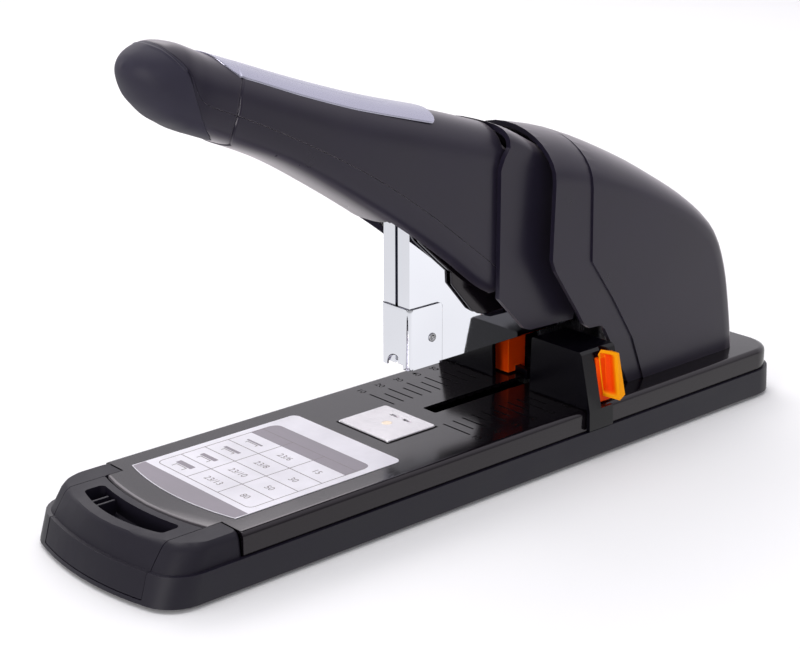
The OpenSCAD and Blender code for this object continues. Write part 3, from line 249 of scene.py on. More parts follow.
def dress(name, material, edge_mm=0.35, planar=False):
    """Gives a CAD node its finish, joined corners and small rounded edges.

    planar merges the triangles of each flat face first.
    """
    piece = nodes[name]
    piece.data.materials.clear()
    piece.data.materials.append(material)
    piece.data.polygons.foreach_set("use_smooth", np.ones(len(piece.data.polygons), bool))
    piece.data.polygons.foreach_set("material_index", np.zeros(len(piece.data.polygons), int))
    weld = piece.modifiers.new("join", "WELD")
    weld.merge_threshold = 0.02 * MM
    if planar:
        flat = piece.modifiers.new("flat_faces", "DECIMATE")
        flat.decimate_type = "DISSOLVE"
        flat.angle_limit = math.radians(0.4)
    soften(piece, edge_mm)
    return piece


tray_plastic = grained("tray_plastic", (0.0055, 0.0038, 0.0115), 0.45, 0.30, 0.010, specular=0.36)
rubber = grained("foot_rubber", (0.02, 0.02, 0.02), 0.8, 0.5, 0.02, specular=0.3)
dress("base_tray", tray_plastic)
dress("rubber_feet", rubber, 0.2)

# ---------------------------------------------------------------------------------------------
# Deck: folded sheet steel in gloss black paint that mirrors what stands on it. Its depth marks
# are struck in the press, number dies cut the figures beside them, and the slot has flat lips.
# ---------------------------------------------------------------------------------------------
STAPLE_X = -19.0
DECK_Z = 21.3


def deck_points(points):
    """Rows of millimetres from the staple line on the deck's top, as metres in the part's own frame."""
    return (np.asarray(points, float) + (STAPLE_X, 0.0, DECK_Z)) * MM


def positions(mesh):
    """Every corner of a mesh, one row of x, y, z each."""
    flat = np.empty(len(mesh.vertices) * 3)
    mesh.vertices.foreach_get("co", flat)
    return flat.reshape(-1, 3)


def paint_faces(piece, material, chosen):
    """A second finish on the faces for which chosen(face) holds."""
    piece.data.materials.append(material)
    picked = [int(chosen(face)) for face in piece.data.polygons]
    piece.data.polygons.foreach_set("material_index", picked)


CAP_HEIGHT = 0.73


def figures(words, height, thick, width=1.0, bold=0.0):
    """Numbers as one solid mesh. words holds (text, x, y, centred), read along -Y with the top to +X.

    Each outline is filled, thickened to run from z 0 up to thick, scaled so that a capital has the
    height given, turned a quarter turn and put down at x, y. width stretches it and bold swells its
    outline. Returns corners in millimetres and faces.
    """
    corners, faces = [], []
    for text, x, y, centred in words:
        curve = bpy.data.curves.new("figures", "FONT")
        curve.body = text
        curve.size = 1.0
        curve.extrude = 0.5
        curve.offset = bold
        curve.resolution_u = 3
        curve.align_x = "CENTER" if centred else "LEFT"
        holder = bpy.data.objects.new("figures", curve)
        scene.collection.objects.link(holder)
        bpy.context.view_layer.update()
        graph = bpy.context.evaluated_depsgraph_get()
        mesh = bpy.data.meshes.new_from_object(holder.evaluated_get(graph))
        flat = positions(mesh)
        start = sum(len(c) for c in corners)
        faces += [[start + i for i in face.vertices] for face in mesh.polygons]
        corners.append(np.stack([x + flat[:, 1] * height / CAP_HEIGHT,
                                 y - flat[:, 0] * width * height / CAP_HEIGHT,
                                 (flat[:, 2] + 0.5) * thick], 1))
        bpy.data.objects.remove(holder)
        bpy.data.meshes.remove(mesh)
        bpy.data.curves.remove(curve)
    return np.vstack(corners), faces


deck_paint = grained("deck_paint", (0.0040, 0.0028, 0.0042), 0.13, 1.4, 0.004, spread=0.12,
                     specular=0.46, wear_and_highlight=0.06, tint=(1, 0.93, 1))
deck = dress("deck_plate", deck_paint, 0.14)
# The struck marks and figures are painted a darker, matte black: painted shade in the recesses.
recess_shade_paint = grained("recess_shade_paint", (0.002, 0.0018, 0.002), 0.75, 0.6, 0.01, specular=0.1, wear_and_highlight=0.0)
STRUCK = 0.4
below = DECK_Z * MM - positions(deck.data)[:, 2]
sunk = (below > 0.05 * MM) & (below < STRUCK * MM)
paint_faces(deck, recess_shade_paint, lambda face: all(sunk[v] for v in face.vertices))

words = [("%d" % (10 * k), 10 * k - 1.4, s, False) for k in range(1, 7) for s in (36.6, -30.6)]
corners, faces = figures(words, 2.9, 1.5, 1.15, 0.009)
die = mesh_object("number_dies", deck_points(corners + (0, 0, -STRUCK)), faces, recess_shade_paint)
close_up = die.modifiers.new("join", "WELD")
close_up.merge_threshold = 0.002 * MM
SLOT_EDGE, LIP_EDGE = 3.75, 5.7
lip = []
for s in (-1, 1):
    x, y, z = np.meshgrid([18.0, 88.0], sorted((s * SLOT_EDGE, s * LIP_EDGE)), [-0.35, 0.0], indexing="ij")
    lip.append(np.stack([x.ravel(), y.ravel(), z.ravel()], 1))
block = np.array([[0, 1, 3, 2], [4, 6, 7, 5], [0, 4, 5, 1], [2, 3, 7, 6], [0, 2, 6, 4], [1, 5, 7, 3]])
lips = mesh_object("slot_lips", deck_points(np.vstack(lip)), np.vstack([block, block + 8]), deck_paint)
place_in = len(deck.modifiers) - 1
for tool, kind in ((lips, "UNION"), (die, "DIFFERENCE")):
    tool.hide_render = True
    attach(tool, "base")
    press = deck.modifiers.new(tool.name, "BOOLEAN")
    press.operation = kind
    press.solver = "EXACT"
    press.use_self = tool is die
    press.material_mode = "TRANSFER"
    press.object = tool
    deck.modifiers.move(len(deck.modifiers) - 1, place_in)
    place_in += 1

# ---------------------------------------------------------------------------------------------
# Nose and staple drawer: the same satin black plastic as the tray, a little coarser on top.
# ---------------------------------------------------------------------------------------------
nose_plastic = grained("nose_plastic", (0.0065, 0.0048, 0.0120), 0.55, 0.45, 0.016, specular=0.30)
dress("nose_cap", nose_plastic, 0.3)
dress("staple_drawer", nose_plastic, 0.3)


# ---------------------------------------------------------------------------------------------
# Anvil: a hardened plate, ground and plated, with two clinching pockets, riveted through the
# deck on a plain steel seat.
# ---------------------------------------------------------------------------------------------
def plated(name, colour, roughness, grain_mm=(0.25, 0.25, 6.0), depth=0.0015, spread=0.35, stain=0.1):
    """Bare or plated metal: fine polishing lines of that size along X, Y and Z, and a faint cloudy stain."""
    material = bpy.data.materials.new(name)
    tree = node_tree(material)
    link = tree.links.new
    place_at = add(tree, "TexCoord")
    stretch = add(tree, "Mapping", in_Scale=[1000.0 / size for size in grain_mm])
    lines = add(tree, "TexNoise", in_Scale=1.0, in_Detail=3.0, in_Roughness=0.55)
    cloud = add(tree, "TexNoise", in_Scale=24.0, in_Detail=3.0)
    link(place_at.outputs["Object"], stretch.inputs["Vector"])
    link(stretch.outputs[0], lines.inputs["Vector"])
    link(place_at.outputs["Object"], cloud.inputs["Vector"])
    tone = add(tree, "ValToRGB")
    tone.color_ramp.elements[0].color = [c * (1 - stain) for c in colour] + [1]
    tone.color_ramp.elements[1].color = list(colour) + [1]
    tone.color_ramp.elements[0].position = 0.25
    tone.color_ramp.elements[1].position = 0.6
    link(cloud.outputs["Fac"], tone.inputs[0])
    gloss = add(tree, "MapRange", in_From_Min=0.3, in_From_Max=0.7,
                in_To_Min=roughness * (1 - spread), in_To_Max=roughness * (1 + spread))
    link(lines.outputs["Fac"], gloss.inputs["Value"])
    bump = add(tree, "Bump", in_Strength=1.0, in_Distance=depth * MM)
    link(lines.outputs["Fac"], bump.inputs["Height"])
    shader = add(tree, "BsdfPrincipled")
    shader.inputs["Metallic"].default_value = 1.0
    link(tone.outputs[0], shader.inputs["Base Color"])
    link(gloss.outputs[0], shader.inputs["Roughness"])
    link(bump.outputs[0], shader.inputs["Normal"])
    link(shader.outputs[0], add(tree, "OutputMaterial").inputs[0])
    return material


anvil_plating = plated("anvil_plating", (0.70, 0.68, 0.70), 0.17, (0.3, 5.0, 0.3), 0.0012)
steel = plated("plated_steel", (0.55, 0.55, 0.57), 0.28, (0.4, 0.4, 4.0), 0.004, stain=0.25)
brass = plated("rivet_brass", (0.78, 0.66, 0.52), 0.3, (0.4, 0.4, 0.4), 0.004, stain=0.3)
dress("anvil_plate", anvil_plating, 0.18)
dress("anvil_rivet", brass, 0.15)
for name in ("anvil_seat", "base_screws"):
    dress(name, steel, 0.15)

# ---------------------------------------------------------------------------------------------
# Staple table: a printed film label stuck on the deck in front of the anvil. It has two grey
# bands, a ruled table of staple sizes with their sheet counts, and a small drawing for each.
# ---------------------------------------------------------------------------------------------
label_film = grained("label_film", (0.715, 0.70, 0.755), 0.36, 1.2, 0.0015, wear_and_highlight=0.0, spread=0.1)
band_ink = grained("band_ink", (0.205, 0.18, 0.215), 0.42, 0.6, 0.0015, wear_and_highlight=0.0)
line_ink = grained("line_ink", (0.17, 0.145, 0.15), 0.5, 0.3, 0.001, wear_and_highlight=0.0)
dress("guide_table_label", label_film, 0.08)
LABEL_TOP = 0.25
INK = 0.02
INK_GAP = 0.002


def printed(name, outlines, ink, top=INK):
    """Flat inked shapes on the label: each outline in millimetres, raised to the thickness of the ink."""
    corners, faces = [], []
    for outline in outlines:
        ring = np.asarray(outline, float)
        n, start = len(ring), sum(len(c) for c in corners)
        low = np.column_stack([ring, np.full(n, LABEL_TOP + INK_GAP)])
        corners.append(np.vstack([low, low + (0, 0, top)]))
        i = np.arange(n)
        j = (i + 1) % n
        faces += (start + np.stack([i, j, j + n, i + n], 1)).tolist()
        faces += [(start + n + i).tolist(), (start + i[::-1]).tolist()]
    piece = mesh_object(name, deck_points(np.vstack(corners)), faces, ink, smooth=False)
    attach(piece, "base")
    return piece


def rounded(x0, x1, y0, y1, radii):
    """Rectangle with a quarter circle of its own radius at (x0,y0), (x1,y0), (x1,y1) and (x0,y1)."""
    spots = ((x0, y0, 180), (x1, y0, 270), (x1, y1, 0), (x0, y1, 90))
    out = []
    for (x, y, start), r in zip(spots, radii):
        a = np.radians(start + np.linspace(0, 90, 9 if r > 0 else 1))
        cx = x + r if x == x0 else x - r
        cy = y + r if y == y0 else y - r
        out.append(np.column_stack([cx + r * np.cos(a), cy + r * np.sin(a)]))
    return np.vstack(out)


def stroke(x0, x1, y0, y1):
    """A straight ruled line as a thin rectangle."""
    return [(x0, y0), (x1, y0), (x1, y1), (x0, y1)]


TABLE = (-94.4, -51.0, -38.4, 28.0)
front, head, back, half = TABLE
rule = 0.17
BOW_RADIUS, BOW_FRONT, BOW_HALF = 115, -107.1, 30.9
arc = np.radians(np.linspace(-15.6, 15.6, 49))
bow = np.column_stack([BOW_FRONT + BOW_RADIUS - BOW_RADIUS * np.cos(arc), BOW_RADIUS * np.sin(arc)])
bow[:, 1] = np.clip(bow[:, 1], -BOW_HALF, BOW_HALF)
printed("label_bands", [np.vstack([bow[::-1], [(-97.4, -31.2), (-97.4, 31.2)]]),
                        rounded(head, back, -half, half, (0, 3.2, 3.2, 0))], band_ink)
row = (head - front) / 4
lines = [stroke(front + row * k - rule, front + row * k + rule, -half, half) for k in range(1, 4)]
lines += [stroke(front, head, y - rule, y + rule) for y in (-half / 3, half / 3)]
CORNER = 2.5
lines += [stroke(front + CORNER, back - 3.2, y - rule, y + rule) for y in (-half, half)]
lines += [stroke(front - rule, front + rule, -half + CORNER, half - CORNER)]
turn_a = np.radians(np.linspace(0, 90, 7))
for s in (-1, 1):
    outer, inner = (np.column_stack([front + CORNER - r * np.sin(turn_a),
                                     s * (half - CORNER + r * np.cos(turn_a))])
                    for r in (CORNER + rule, CORNER - rule))
    bend = np.vstack([outer, inner[::-1]])
    lines.append(bend if s > 0 else bend[::-1])
printed("label_rules", lines, line_ink)
printed("band_rules", [stroke(head + 5.4, head + 5.6, -half, half)]
        + [stroke(head, head + 5.4, y - 0.12, y + 0.12) for y in (-half / 3, half / 3)], line_ink, 2 * INK)

sizes = (("23/6", "15"), ("23/8", "30"), ("23/10", "50"), ("23/13", "80"))
words, crowns, papers = [], [], []
for k, (size, sheets) in enumerate(sizes):
    x = head - row * (k + 0.5)
    words += [(size, x - 1.5, 0.0, True), (sheets, x - 1.5, -half * 2 / 3, True)]
    leg, pile, y = 1.0 + 0.35 * k, 1.0 + 0.5 * k, half * 2 / 3
    papers.append(rounded(x - 0.4, x - 0.4 + pile, y - 4.6, y + 4.6, (0.3, 0.3, 0.3, 0.3)))
    crowns += [stroke(x - 1.2, x - 0.8, y - 3.2, y + 3.2), stroke(x - 1.2 - leg, x - 1.2, y - 3.2, y - 2.8),
               stroke(x - 1.2 - leg, x - 1.2, y + 2.8, y + 3.2)]
printed("label_piles", papers, band_ink)
printed("label_staples", crowns, line_ink)
corners, faces = figures(words, 3.0, INK)
numbers = mesh_object("label_numbers", deck_points(corners + (0, 0, LABEL_TOP + INK_GAP)), faces, line_ink,
                      smooth=False)
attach(numbers, "base")

# ---------------------------------------------------------------------------------------------
# Depth guide: a moulded bridge in glossy black plastic that slides in the deck's slot. Its two
# orange latches are pushed in from the sides to free it.
# ---------------------------------------------------------------------------------------------
guide_plastic = grained("guide_plastic", (0.0016, 0.0012, 0.003), 0.24, 0.5, 0.004, specular=0.30, wear_and_highlight=0.1)
dress("depth_guide", guide_plastic, 0.4)
dress("guide_keeper", steel, 0.15)
dress("guide_screws", steel, 0.15)


def walled(name, outer, inner, material, keep=None):
    """A thin wall as one closed mesh: the outer grid of points, the inner grid turned over, and a strip
    round every free edge. Only the cells in keep are made, where it is given. The faces are turned
    round if the summed signed volume comes out negative."""
    n, m = outer.shape[:2]
    cell = np.arange(n * m).reshape(n, m)
    faces = np.stack([cell[:-1, :-1], cell[1:, :-1], cell[1:, 1:], cell[:-1, 1:]], -1)
    faces = faces[keep] if keep is not None else faces.reshape(-1, 4)
    edges = np.stack([faces, np.roll(faces, -1, 1)], -1).reshape(-1, 2)
    rim = edges[~np.isin(edges[:, 0] * n * m + edges[:, 1], edges[:, 1] * n * m + edges[:, 0])]
    strip = np.stack([rim[:, 1], rim[:, 0], rim[:, 0] + n * m, rim[:, 1] + n * m], 1)
    faces = np.vstack([faces, faces[:, ::-1] + n * m, strip])
    used, where = np.unique(faces, return_inverse=True)
    points = np.vstack([outer.reshape(-1, 3), inner.reshape(-1, 3)])[used]
    faces = where.reshape(faces.shape)
    a, b, c, d = (points[faces[:, k]] for k in range(4))
    if np.sum(np.cross(b - a, c - a) * a) + np.sum(np.cross(c - a, d - a) * a) < 0:
        faces = faces[:, ::-1]
    return mesh_object(name, points, faces, material)


# The orange's edges are painted yellower: a painted highlight where its rims catch the light.
orange = grained("latch_orange", (1.0, 0.070, 0.001), 0.45, 0.8, 0.003, spread=0.1, specular=0.06,
                 wear_and_highlight=0.6, worn_and_lit=(1.0, 0.3, 0.003))
TOOTH_END = 8.4
for name in ("latch_bar_left", "latch_bar_right"):
    bar = dress(name, orange, 0.5)
    inboard = np.abs(positions(bar.data)[:, 1]) < TOOTH_END * MM
    paint_faces(bar, guide_plastic, lambda face: any(inboard[v] for v in face.vertices))

# The buttons' rims, crest and front edge are painted yellower than the dish's floor: a painted highlight
# where they catch the light.
button_orange = orange.copy()
button_orange.name = "button_orange"
tree = button_orange.node_tree
shader = next(n for n in tree.nodes if n.type == "BSDF_PRINCIPLED")
# thick is the plain orange, before the painted rim highlight is mixed in.
thick = shader.inputs["Base Color"].links[0].from_socket
thin = add(tree, "Attribute", attribute_name="thin")
rim_highlight_colour = add(tree, "MixRGB", in_Color2=(1.0, 0.36, 0.002, 1))
tree.links.new(thin.outputs["Fac"], rim_highlight_colour.inputs["Fac"])
tree.links.new(thick, rim_highlight_colour.inputs["Color1"])
tree.links.new(rim_highlight_colour.outputs[0], shader.inputs["Base Color"])


BUTTON_BACK = 40.4


def button(name, side):
    """A finger scoop as a grid: w up its height, u from its front edge over the dish to crest and rim.

    Straight lines join the front edge, the crest and the rear edge. The floor is sunk between the
    first two by a smooth step down and up along u, times one along w. A flat back closes it, laid just
    over the outer end of the latch's bar.
    """
    w = np.linspace(0, 1, 61)[:, None]
    u = np.linspace(0, 1, 91)[None, :]
    front = np.stack(np.broadcast_arrays(np.interp(w, [0, 0.9, 1], [72.2, 68.6, 70.2]), 40.7,
                                         np.interp(w, [0, 0.9, 1], [3.3, 21.7, 23.2])), -1)
    crest = np.stack(np.broadcast_arrays(75.0 + 0.4 * w, 47.05 - 2.6 * w, 2.4 + 19.2 * w), -1)
    rear = np.stack(np.broadcast_arrays(78.3 - 1.6 * w, 46.8 - 2.6 * w, 4.0 + 17.2 * w), -1)
    k = np.clip(u / 0.74, 0, 1)[..., None]
    j = np.clip((u - 0.74) / 0.26, 0, 1)[..., None]
    face = front + (crest - front) * k + (rear - crest) * j
    ease = lambda x: np.clip(x, 0, 1) ** 2 * (3 - 2 * np.clip(x, 0, 1))
    window = ease((w - 0.06) / 0.10) * ease((0.95 - w) / 0.08)
    wave = ease((u - 0.015) / 0.08) * ease((0.66 - u) / 0.26)
    sunk = window * wave
    face = face + 2.3 * sunk[..., None] * np.array([0.72, -0.69, 0.0])
    back = face.copy()
    back[..., 1] = BUTTON_BACK
    face[..., 1] *= side
    back[..., 1] *= side
    piece = walled(name, deck_points(face), deck_points(back), button_orange)
    # The second value returned is where the painted rim highlight goes: full outside the dish, none on its
    # floor.
    return piece, 1 - sunk


for side, where_to in ((1, "left"), (-1, "right")):
    piece, thin = button("finger_button_" + where_to, side)
    # The painted highlight is strongest on the rims, and the back carries 0.3 of it.
    data = piece.data.attributes.new("thin", "FLOAT", "POINT")
    flat = np.concatenate([(thin ** 2).ravel(), np.full(len(piece.data.vertices) - thin.size, 0.3)])
    data.data.foreach_set("value", flat)
    soften(piece, 0.25, 45)
    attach(piece, "latch_" + where_to)
    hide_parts("latch_button_" + where_to)

spring_steel = plated("spring_steel", (0.42, 0.42, 0.44), 0.32, (0.5, 0.5, 0.5), 0.003, stain=0.2)
for name in ("latch_spring_left", "latch_spring_right"):
    dress(name, spring_steel, 0)

# ---------------------------------------------------------------------------------------------
# Magazine: a folded channel and front post in bright nickelled steel, with the forming head
# riveted on its front, the staple rail, strip, pusher and blade inside it.
# ---------------------------------------------------------------------------------------------
nickel = plated("bright_nickel", (0.92, 0.93, 1.0), 0.035, (0.35, 0.35, 9.0), 0.0002, stain=0.04)
dress("magazine_channel", nickel, 0.38, planar=True)
# The blade is painted near black so that the opening in front of it reads dark: painted shade.
blade_shade_steel = plated("blade_shade_steel", (0.035, 0.038, 0.055), 0.22, (0.4, 0.4, 6.0), 0.002, stain=0.3)
dress("driver_blade", blade_shade_steel, 0.12)
for name in ("staple_rail", "driver_pin", "staple_strip"):
    dress(name, steel, 0.12)

HEAD_FOOT, HEAD_TOP, HEAD_HALF = 22.7, 47.0, 8.2
HEAD_CORNER, WINDOW, HEAD_SHEET = 2.1, 4.6, 0.78


def wrapped(deep):
    """The forming head as a grid: columns go round its plan, along one side, round the corner, across
    the front and back along the other side, and rows rise from the foot. On the front the foot follows
    a half round window, and the rear top corners are cut to an arc. deep moves the sheet's face
    inwards, where the corner is tighter."""
    a = np.radians(np.linspace(0, 90, 13))
    half, r = HEAD_HALF - deep, HEAD_CORNER if deep == 0 else 0.35
    turn_x, turn_y = deep - HEAD_CORNER + r, half - r
    side_x = np.concatenate([np.linspace(15.0, 13.4, 9), np.linspace(12.0, 1.0, 6)])
    x = np.concatenate([side_x, turn_x - r * np.sin(a)])
    y = np.concatenate([np.full(side_x.shape, -half), -turn_y - r * np.cos(a)])
    across = np.concatenate([[-5.3], -WINDOW * np.cos(np.radians(np.linspace(0, 180, 41))), [5.3]])
    x = np.concatenate([x, np.full(across.shape, turn_x - r), x[::-1]])
    y = np.concatenate([y, across, -y[::-1]])
    on_front = x < deep - HEAD_CORNER + 0.01
    low = HEAD_FOOT + np.where(on_front, np.sqrt(np.maximum(WINDOW ** 2 - y ** 2, 0)), 0)
    high = HEAD_TOP - 1.6 + np.sqrt(np.maximum(1.6 ** 2 - np.maximum(x - 13.4, 0) ** 2, 0))
    z = low + (high - low) * np.linspace(0, 1, 17)[:, None]
    return deck_points(np.stack(np.broadcast_arrays(x, y, z), -1))


head = walled("forming_head", wrapped(0.0), wrapped(HEAD_SHEET), nickel)
# The head's sheet edges along its top and rear are painted near black: painted shade and dark reflection.
edge_shade = grained("edge_shade", (0.004, 0.004, 0.007), 0.5, 0.3, 0.005, specular=0.2, wear_and_highlight=0.0)
inner_from = len(head.data.vertices) // 2
edge_from = (DECK_Z + HEAD_FOOT + 6) * MM


def shaded_edge_face(face):
    """Whether a face joins the sheet's two sides, well above the foot; these edge faces are painted near
    black as painted shade.
    """
    inner = [v >= inner_from for v in face.vertices]
    return any(inner) and not all(inner) and face.center.z > edge_from


paint_faces(head, edge_shade, shaded_edge_face)
soften(head, 0.12, 60)
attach(head, "magazine")
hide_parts("head_block")


def turned(name, profile, at, axis_sign, material, count=40):
    """A turned pin: its profile, rows of (radius, height), swept round a line along Y, ends closed."""
    rows = np.asarray(profile, float)
    angle = np.linspace(0, 2 * np.pi, count, endpoint=False)
    r, h = rows[:, :1], rows[:, 1:]
    points = np.stack(np.broadcast_arrays(at[0] + r * np.cos(angle), at[1] + axis_sign * h,
                                          at[2] + r * np.sin(angle)), -1)
    cell = np.arange(len(rows) * count).reshape(len(rows), count)
    nxt = np.roll(cell, -1, 1)
    faces = np.stack([cell[:-1], nxt[:-1], nxt[1:], cell[1:]], -1).reshape(-1, 4)
    faces = faces if axis_sign < 0 else faces[:, ::-1]
    first, last = (cell[0, ::-1], cell[-1]) if axis_sign < 0 else (cell[0], cell[-1, ::-1])
    ends = [first.tolist(), last.tolist()]
    return mesh_object(name, deck_points(points.reshape(-1, 3)), faces.tolist() + ends, material)


rivet_profile = [(1.45, 0), (1.45, 1.6), (1.75, 1.66), (1.75, 1.82), (1.6, 1.95), (1.15, 2.0),
                 (0.95, 1.95), (0.85, 1.62), (0.3, 1.6)]
for side, where_to in ((1, "left"), (-1, "right")):
    rivet = turned("head_rivet_" + where_to, rivet_profile, (9.6, side * 6.7, 34.0), side, steel)
    soften(rivet, 0)
    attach(rivet, "magazine")
    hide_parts("head_rivets")

dress("staple_pusher", guide_plastic, 0.3)
dress("pusher_spring", spring_steel, 0)

# ---------------------------------------------------------------------------------------------
# Rear frame: two steel cheeks on a folded foot, bolted to the deck, with the main pivot, the
# magazine's hinge pin and the lifting spring. All of it is zinc plated and unpainted.
# ---------------------------------------------------------------------------------------------
for name in ("rear_frame", "frame_screws", "cover_screws", "main_pivot_pin", "pivot_clips",
             "magazine_pin"):
    dress(name, steel, 0.15)
dress("lift_spring", spring_steel, 0)

# ---------------------------------------------------------------------------------------------
# Rear cover: a black satin moulding screwed to the rear frame, with its edges rounded over.
# ---------------------------------------------------------------------------------------------
shell_plastic = grained("shell_plastic", (0.0080, 0.0062, 0.0170), 0.31, 0.35, 0.007, specular=0.40,
                        tint=(1, 0.95, 1), sheen=0.44)
dress("rear_cover", shell_plastic, 0.9)

# ---------------------------------------------------------------------------------------------
# Handle shells: two satin black mouldings, 2.2 mm thick, meeting along a seam down each side and
# held by two screws from below. The grip is a hair slimmer than the rest, with a small step.
# ---------------------------------------------------------------------------------------------
# Rows along the handle: [place, top, bottom, half width, squareness above, squareness below, seam].
handle_rows = [
    [0, 8.6, 7.4, 0.6, 2.0, 2.0, 8.4], [1.2, 12.2, 4.2, 5.4, 2.0, 2.0, 8.6],
    [4, 15.8, 0.9, 9.6, 2.0, 2.0, 8.6], [9, 18.9, -3.0, 13.2, 2.1, 2.1, 7.6],
    [16, 20.2, -6.0, 15.4, 2.2, 2.3, 5.2], [22, 20.1, -7.1, 15.9, 2.25, 2.5, 3.5],
    [28, 19.9, -7.8, 16.2, 2.3, 2.6, 3.1], [44, 20.5, -7.8, 16.2, 2.3, 2.8, 2.8],
    [70, 21.4, -9.0, 16.3, 2.3, 3.0, 0.9],
    [102, 23.5, -14.4, 16.6, 2.4, 3.0, -3.0], [131, 26.5, -20.6, 16.9, 2.4, 3.0, -9.1],
    [155, 28.6, -27.0, 17.2, 2.5, 3.0, -15.8], [176, 30.2, -33.6, 17.2, 2.6, 3.0, -22.0],
    [192, 31.0, -35.0, 17.2, 2.6, 3.0, -26.5]]
LEAN = math.radians(22)
HAND_X, HAND_Z, HAND_START = -130, 150, 8.5
WALL = 2.2


def spline(rows, n):
    """Curve through every row: Catmull-Rom blend of each four neighbours, cut into n steps a span."""
    p = np.asarray(rows, float)
    p = np.vstack([p[:1], p, p[-1:]])
    t = (np.arange(n) / n)[None, :, None]
    a, b, c, d = (p[i:len(p) - 3 + i][:, None, :] for i in range(4))
    body = 0.5 * (2 * b + (c - a) * t + (2 * a - 5 * b + 4 * c - d) * t ** 2
                  + (3 * b - a - 3 * c + d) * t ** 3)
    return np.vstack([body.reshape(-1, p.shape[1]), p[-1:]])


handle_curve = spline(handle_rows, 24)


def section(s, tip=False):
    """Top, bottom, half width, squareness above and below, and seam of the handle at any place s along
    it. The shells' seam sweeps up behind the tip; the tip itself keeps the straight one."""
    along = handle_curve[:, 0]
    top, bottom, wide, up, down, seam = (np.interp(s, along, handle_curve[:, c]) for c in range(1, 7))
    swept = np.interp(s, [15.9, 18.5, 21.3, 24, 26.8, 28], [12.5, 8.8, 5.5, 3.9, 3.2, 3.1])
    return top, bottom, wide, up, down, np.where((s < 28) & (not tip), swept, seam)


def slimmer(s, t, back=0.0):
    """How much slimmer the grip is: 0.3 mm in front of a step, nothing behind it or at the very tip,
    and a fine groove along the step that fades out under the inlay."""
    step = 38.8 - 1.0 * np.exp(-((t - 10) / 3.5) ** 2) + back
    groove = 0.35 * np.exp(-((s - step + 0.3) / 0.35) ** 2) * np.clip((17.5 - t) / 2, 0, 1)
    return 0.3 * np.clip((s - 8) / 4, 0, 1) * (1 - np.clip((s - step) / 0.35 + 0.5, 0, 1)) + groove


def over(s, v, deep, lap=0.1, tip=False):
    """Upper outline, moved in by deep, as y and t: v runs from -1 at one seam, over the crown at 0, to 1
    at the other, and the rounding is a superellipse. lap lowers the seam."""
    top, bottom, wide, up, down, seam = section(s, tip)
    crown = np.minimum(17.0, (top - bottom) / 2)
    foot = np.minimum(seam + lap, top - deep - 0.05)
    t = foot + (top - deep - foot) * (1 - np.abs(v) ** 2.4)
    rise = np.clip((t - (top - crown)) / (crown - deep), 0, 1)
    return -np.sign(v) * (wide - slimmer(s, t) - deep) * (1 - rise ** up) ** (1 / up), t


def step_back(v):
    """How far back the step lies on the lower shell: it runs straight across its rounding, 0.79 mm back
    for each millimetre in."""
    level = 2.8 - 10.6 * (1 - np.abs(v) ** 2.6)
    return 0.79 * np.clip(16.3 * (1 - (1 - np.clip((2.5 - level) / 10.3, 0, 1) ** 2.75) ** (1 / 2.75)), 0, 7)


def under(s, v, deep, lap=0.1, tip=False):
    """Lower outline, moved in by deep, as y and t: v runs from -1 at one seam, under the keel at 0, to 1
    at the other, and the rounding is a superellipse. lap lowers the seam."""
    top, bottom, wide, up, down, seam = section(s, tip)
    keel = np.minimum(np.minimum(11.0, seam - 0.4 - bottom), (top - bottom) / 2)
    keel = np.maximum(keel, deep + 0.3)
    slim = slimmer(s, -20.0, step_back(v))
    brow, floor_t = seam - lap, bottom + slim + deep
    t = brow - (brow - floor_t) * (1 - np.abs(v) ** 2.6)
    drop = np.clip((bottom + keel + slim - t) / (keel - deep), 0, 1)
    return -np.sign(v) * (wide - slim - deep) * (1 - drop ** down) ** (1 / down), t


def hand_points(s, y, t):
    """Places in the handle's own frame, along, across and square to it, as metres in the part's frame."""
    along = np.asarray(s, float) + HAND_START
    x = HAND_X + along * math.cos(LEAN) + t * math.sin(LEAN)
    z = HAND_Z - along * math.sin(LEAN) + t * math.cos(LEAN)
    return deck_points(np.stack(np.broadcast_arrays(x, y, z), -1))


def tip_edge(t):
    """Where the soft tip meets the shells, by height: a line that slants and curves back towards the grip."""
    return np.interp(t, [-12, -7.8, -6.5, -4.6, -1.6, 1, 3.4, 5.5, 8.5, 10.5, 13.3, 17.8, 24],
                     [46, 41, 35, 30, 25.5, 23.2, 21.2, 19.6, 17.6, 16.6, 14.6, 7, 2])


def settle(edge, outline, v, deep, first):
    """For every v, the place s where the outline meets an edge given by (s, t), found by going round a
    few times."""
    s = np.full(v.shape, float(first))
    for _ in range(24):
        s = 0.5 * s + 0.5 * edge(s, outline(s, v, deep)[1])
    return s


def stations(start, end, middle, counts):
    """Places along each column: spread from start to the step of the grip, close together over it, and
    on to end."""
    knots = [start, np.maximum(start + 0.3, middle - 1.4)]
    knots += [np.maximum(knots[1] + 0.3, middle + 1.0), end]
    out = [knots[k] + (knots[k + 1] - knots[k]) * np.linspace(0, 1, n, endpoint=False)[:, None]
           for k, n in enumerate(counts)]
    return np.vstack(out + [knots[3][None]])


def rear_end(s, t):
    """Where the upper shell ends under the hood: the place s on its slanted, kinked rear edge."""
    x = HAND_X + (s + HAND_START) * math.cos(LEAN) + t * math.sin(LEAN)
    z = HAND_Z - (s + HAND_START) * math.sin(LEAN) + t * math.cos(LEAN)
    return s + (np.interp(z, [10, 90, 98.5, 104.4, 140], [58, 58, 51, 38.4, 38.4]) - x) / math.cos(LEAN)


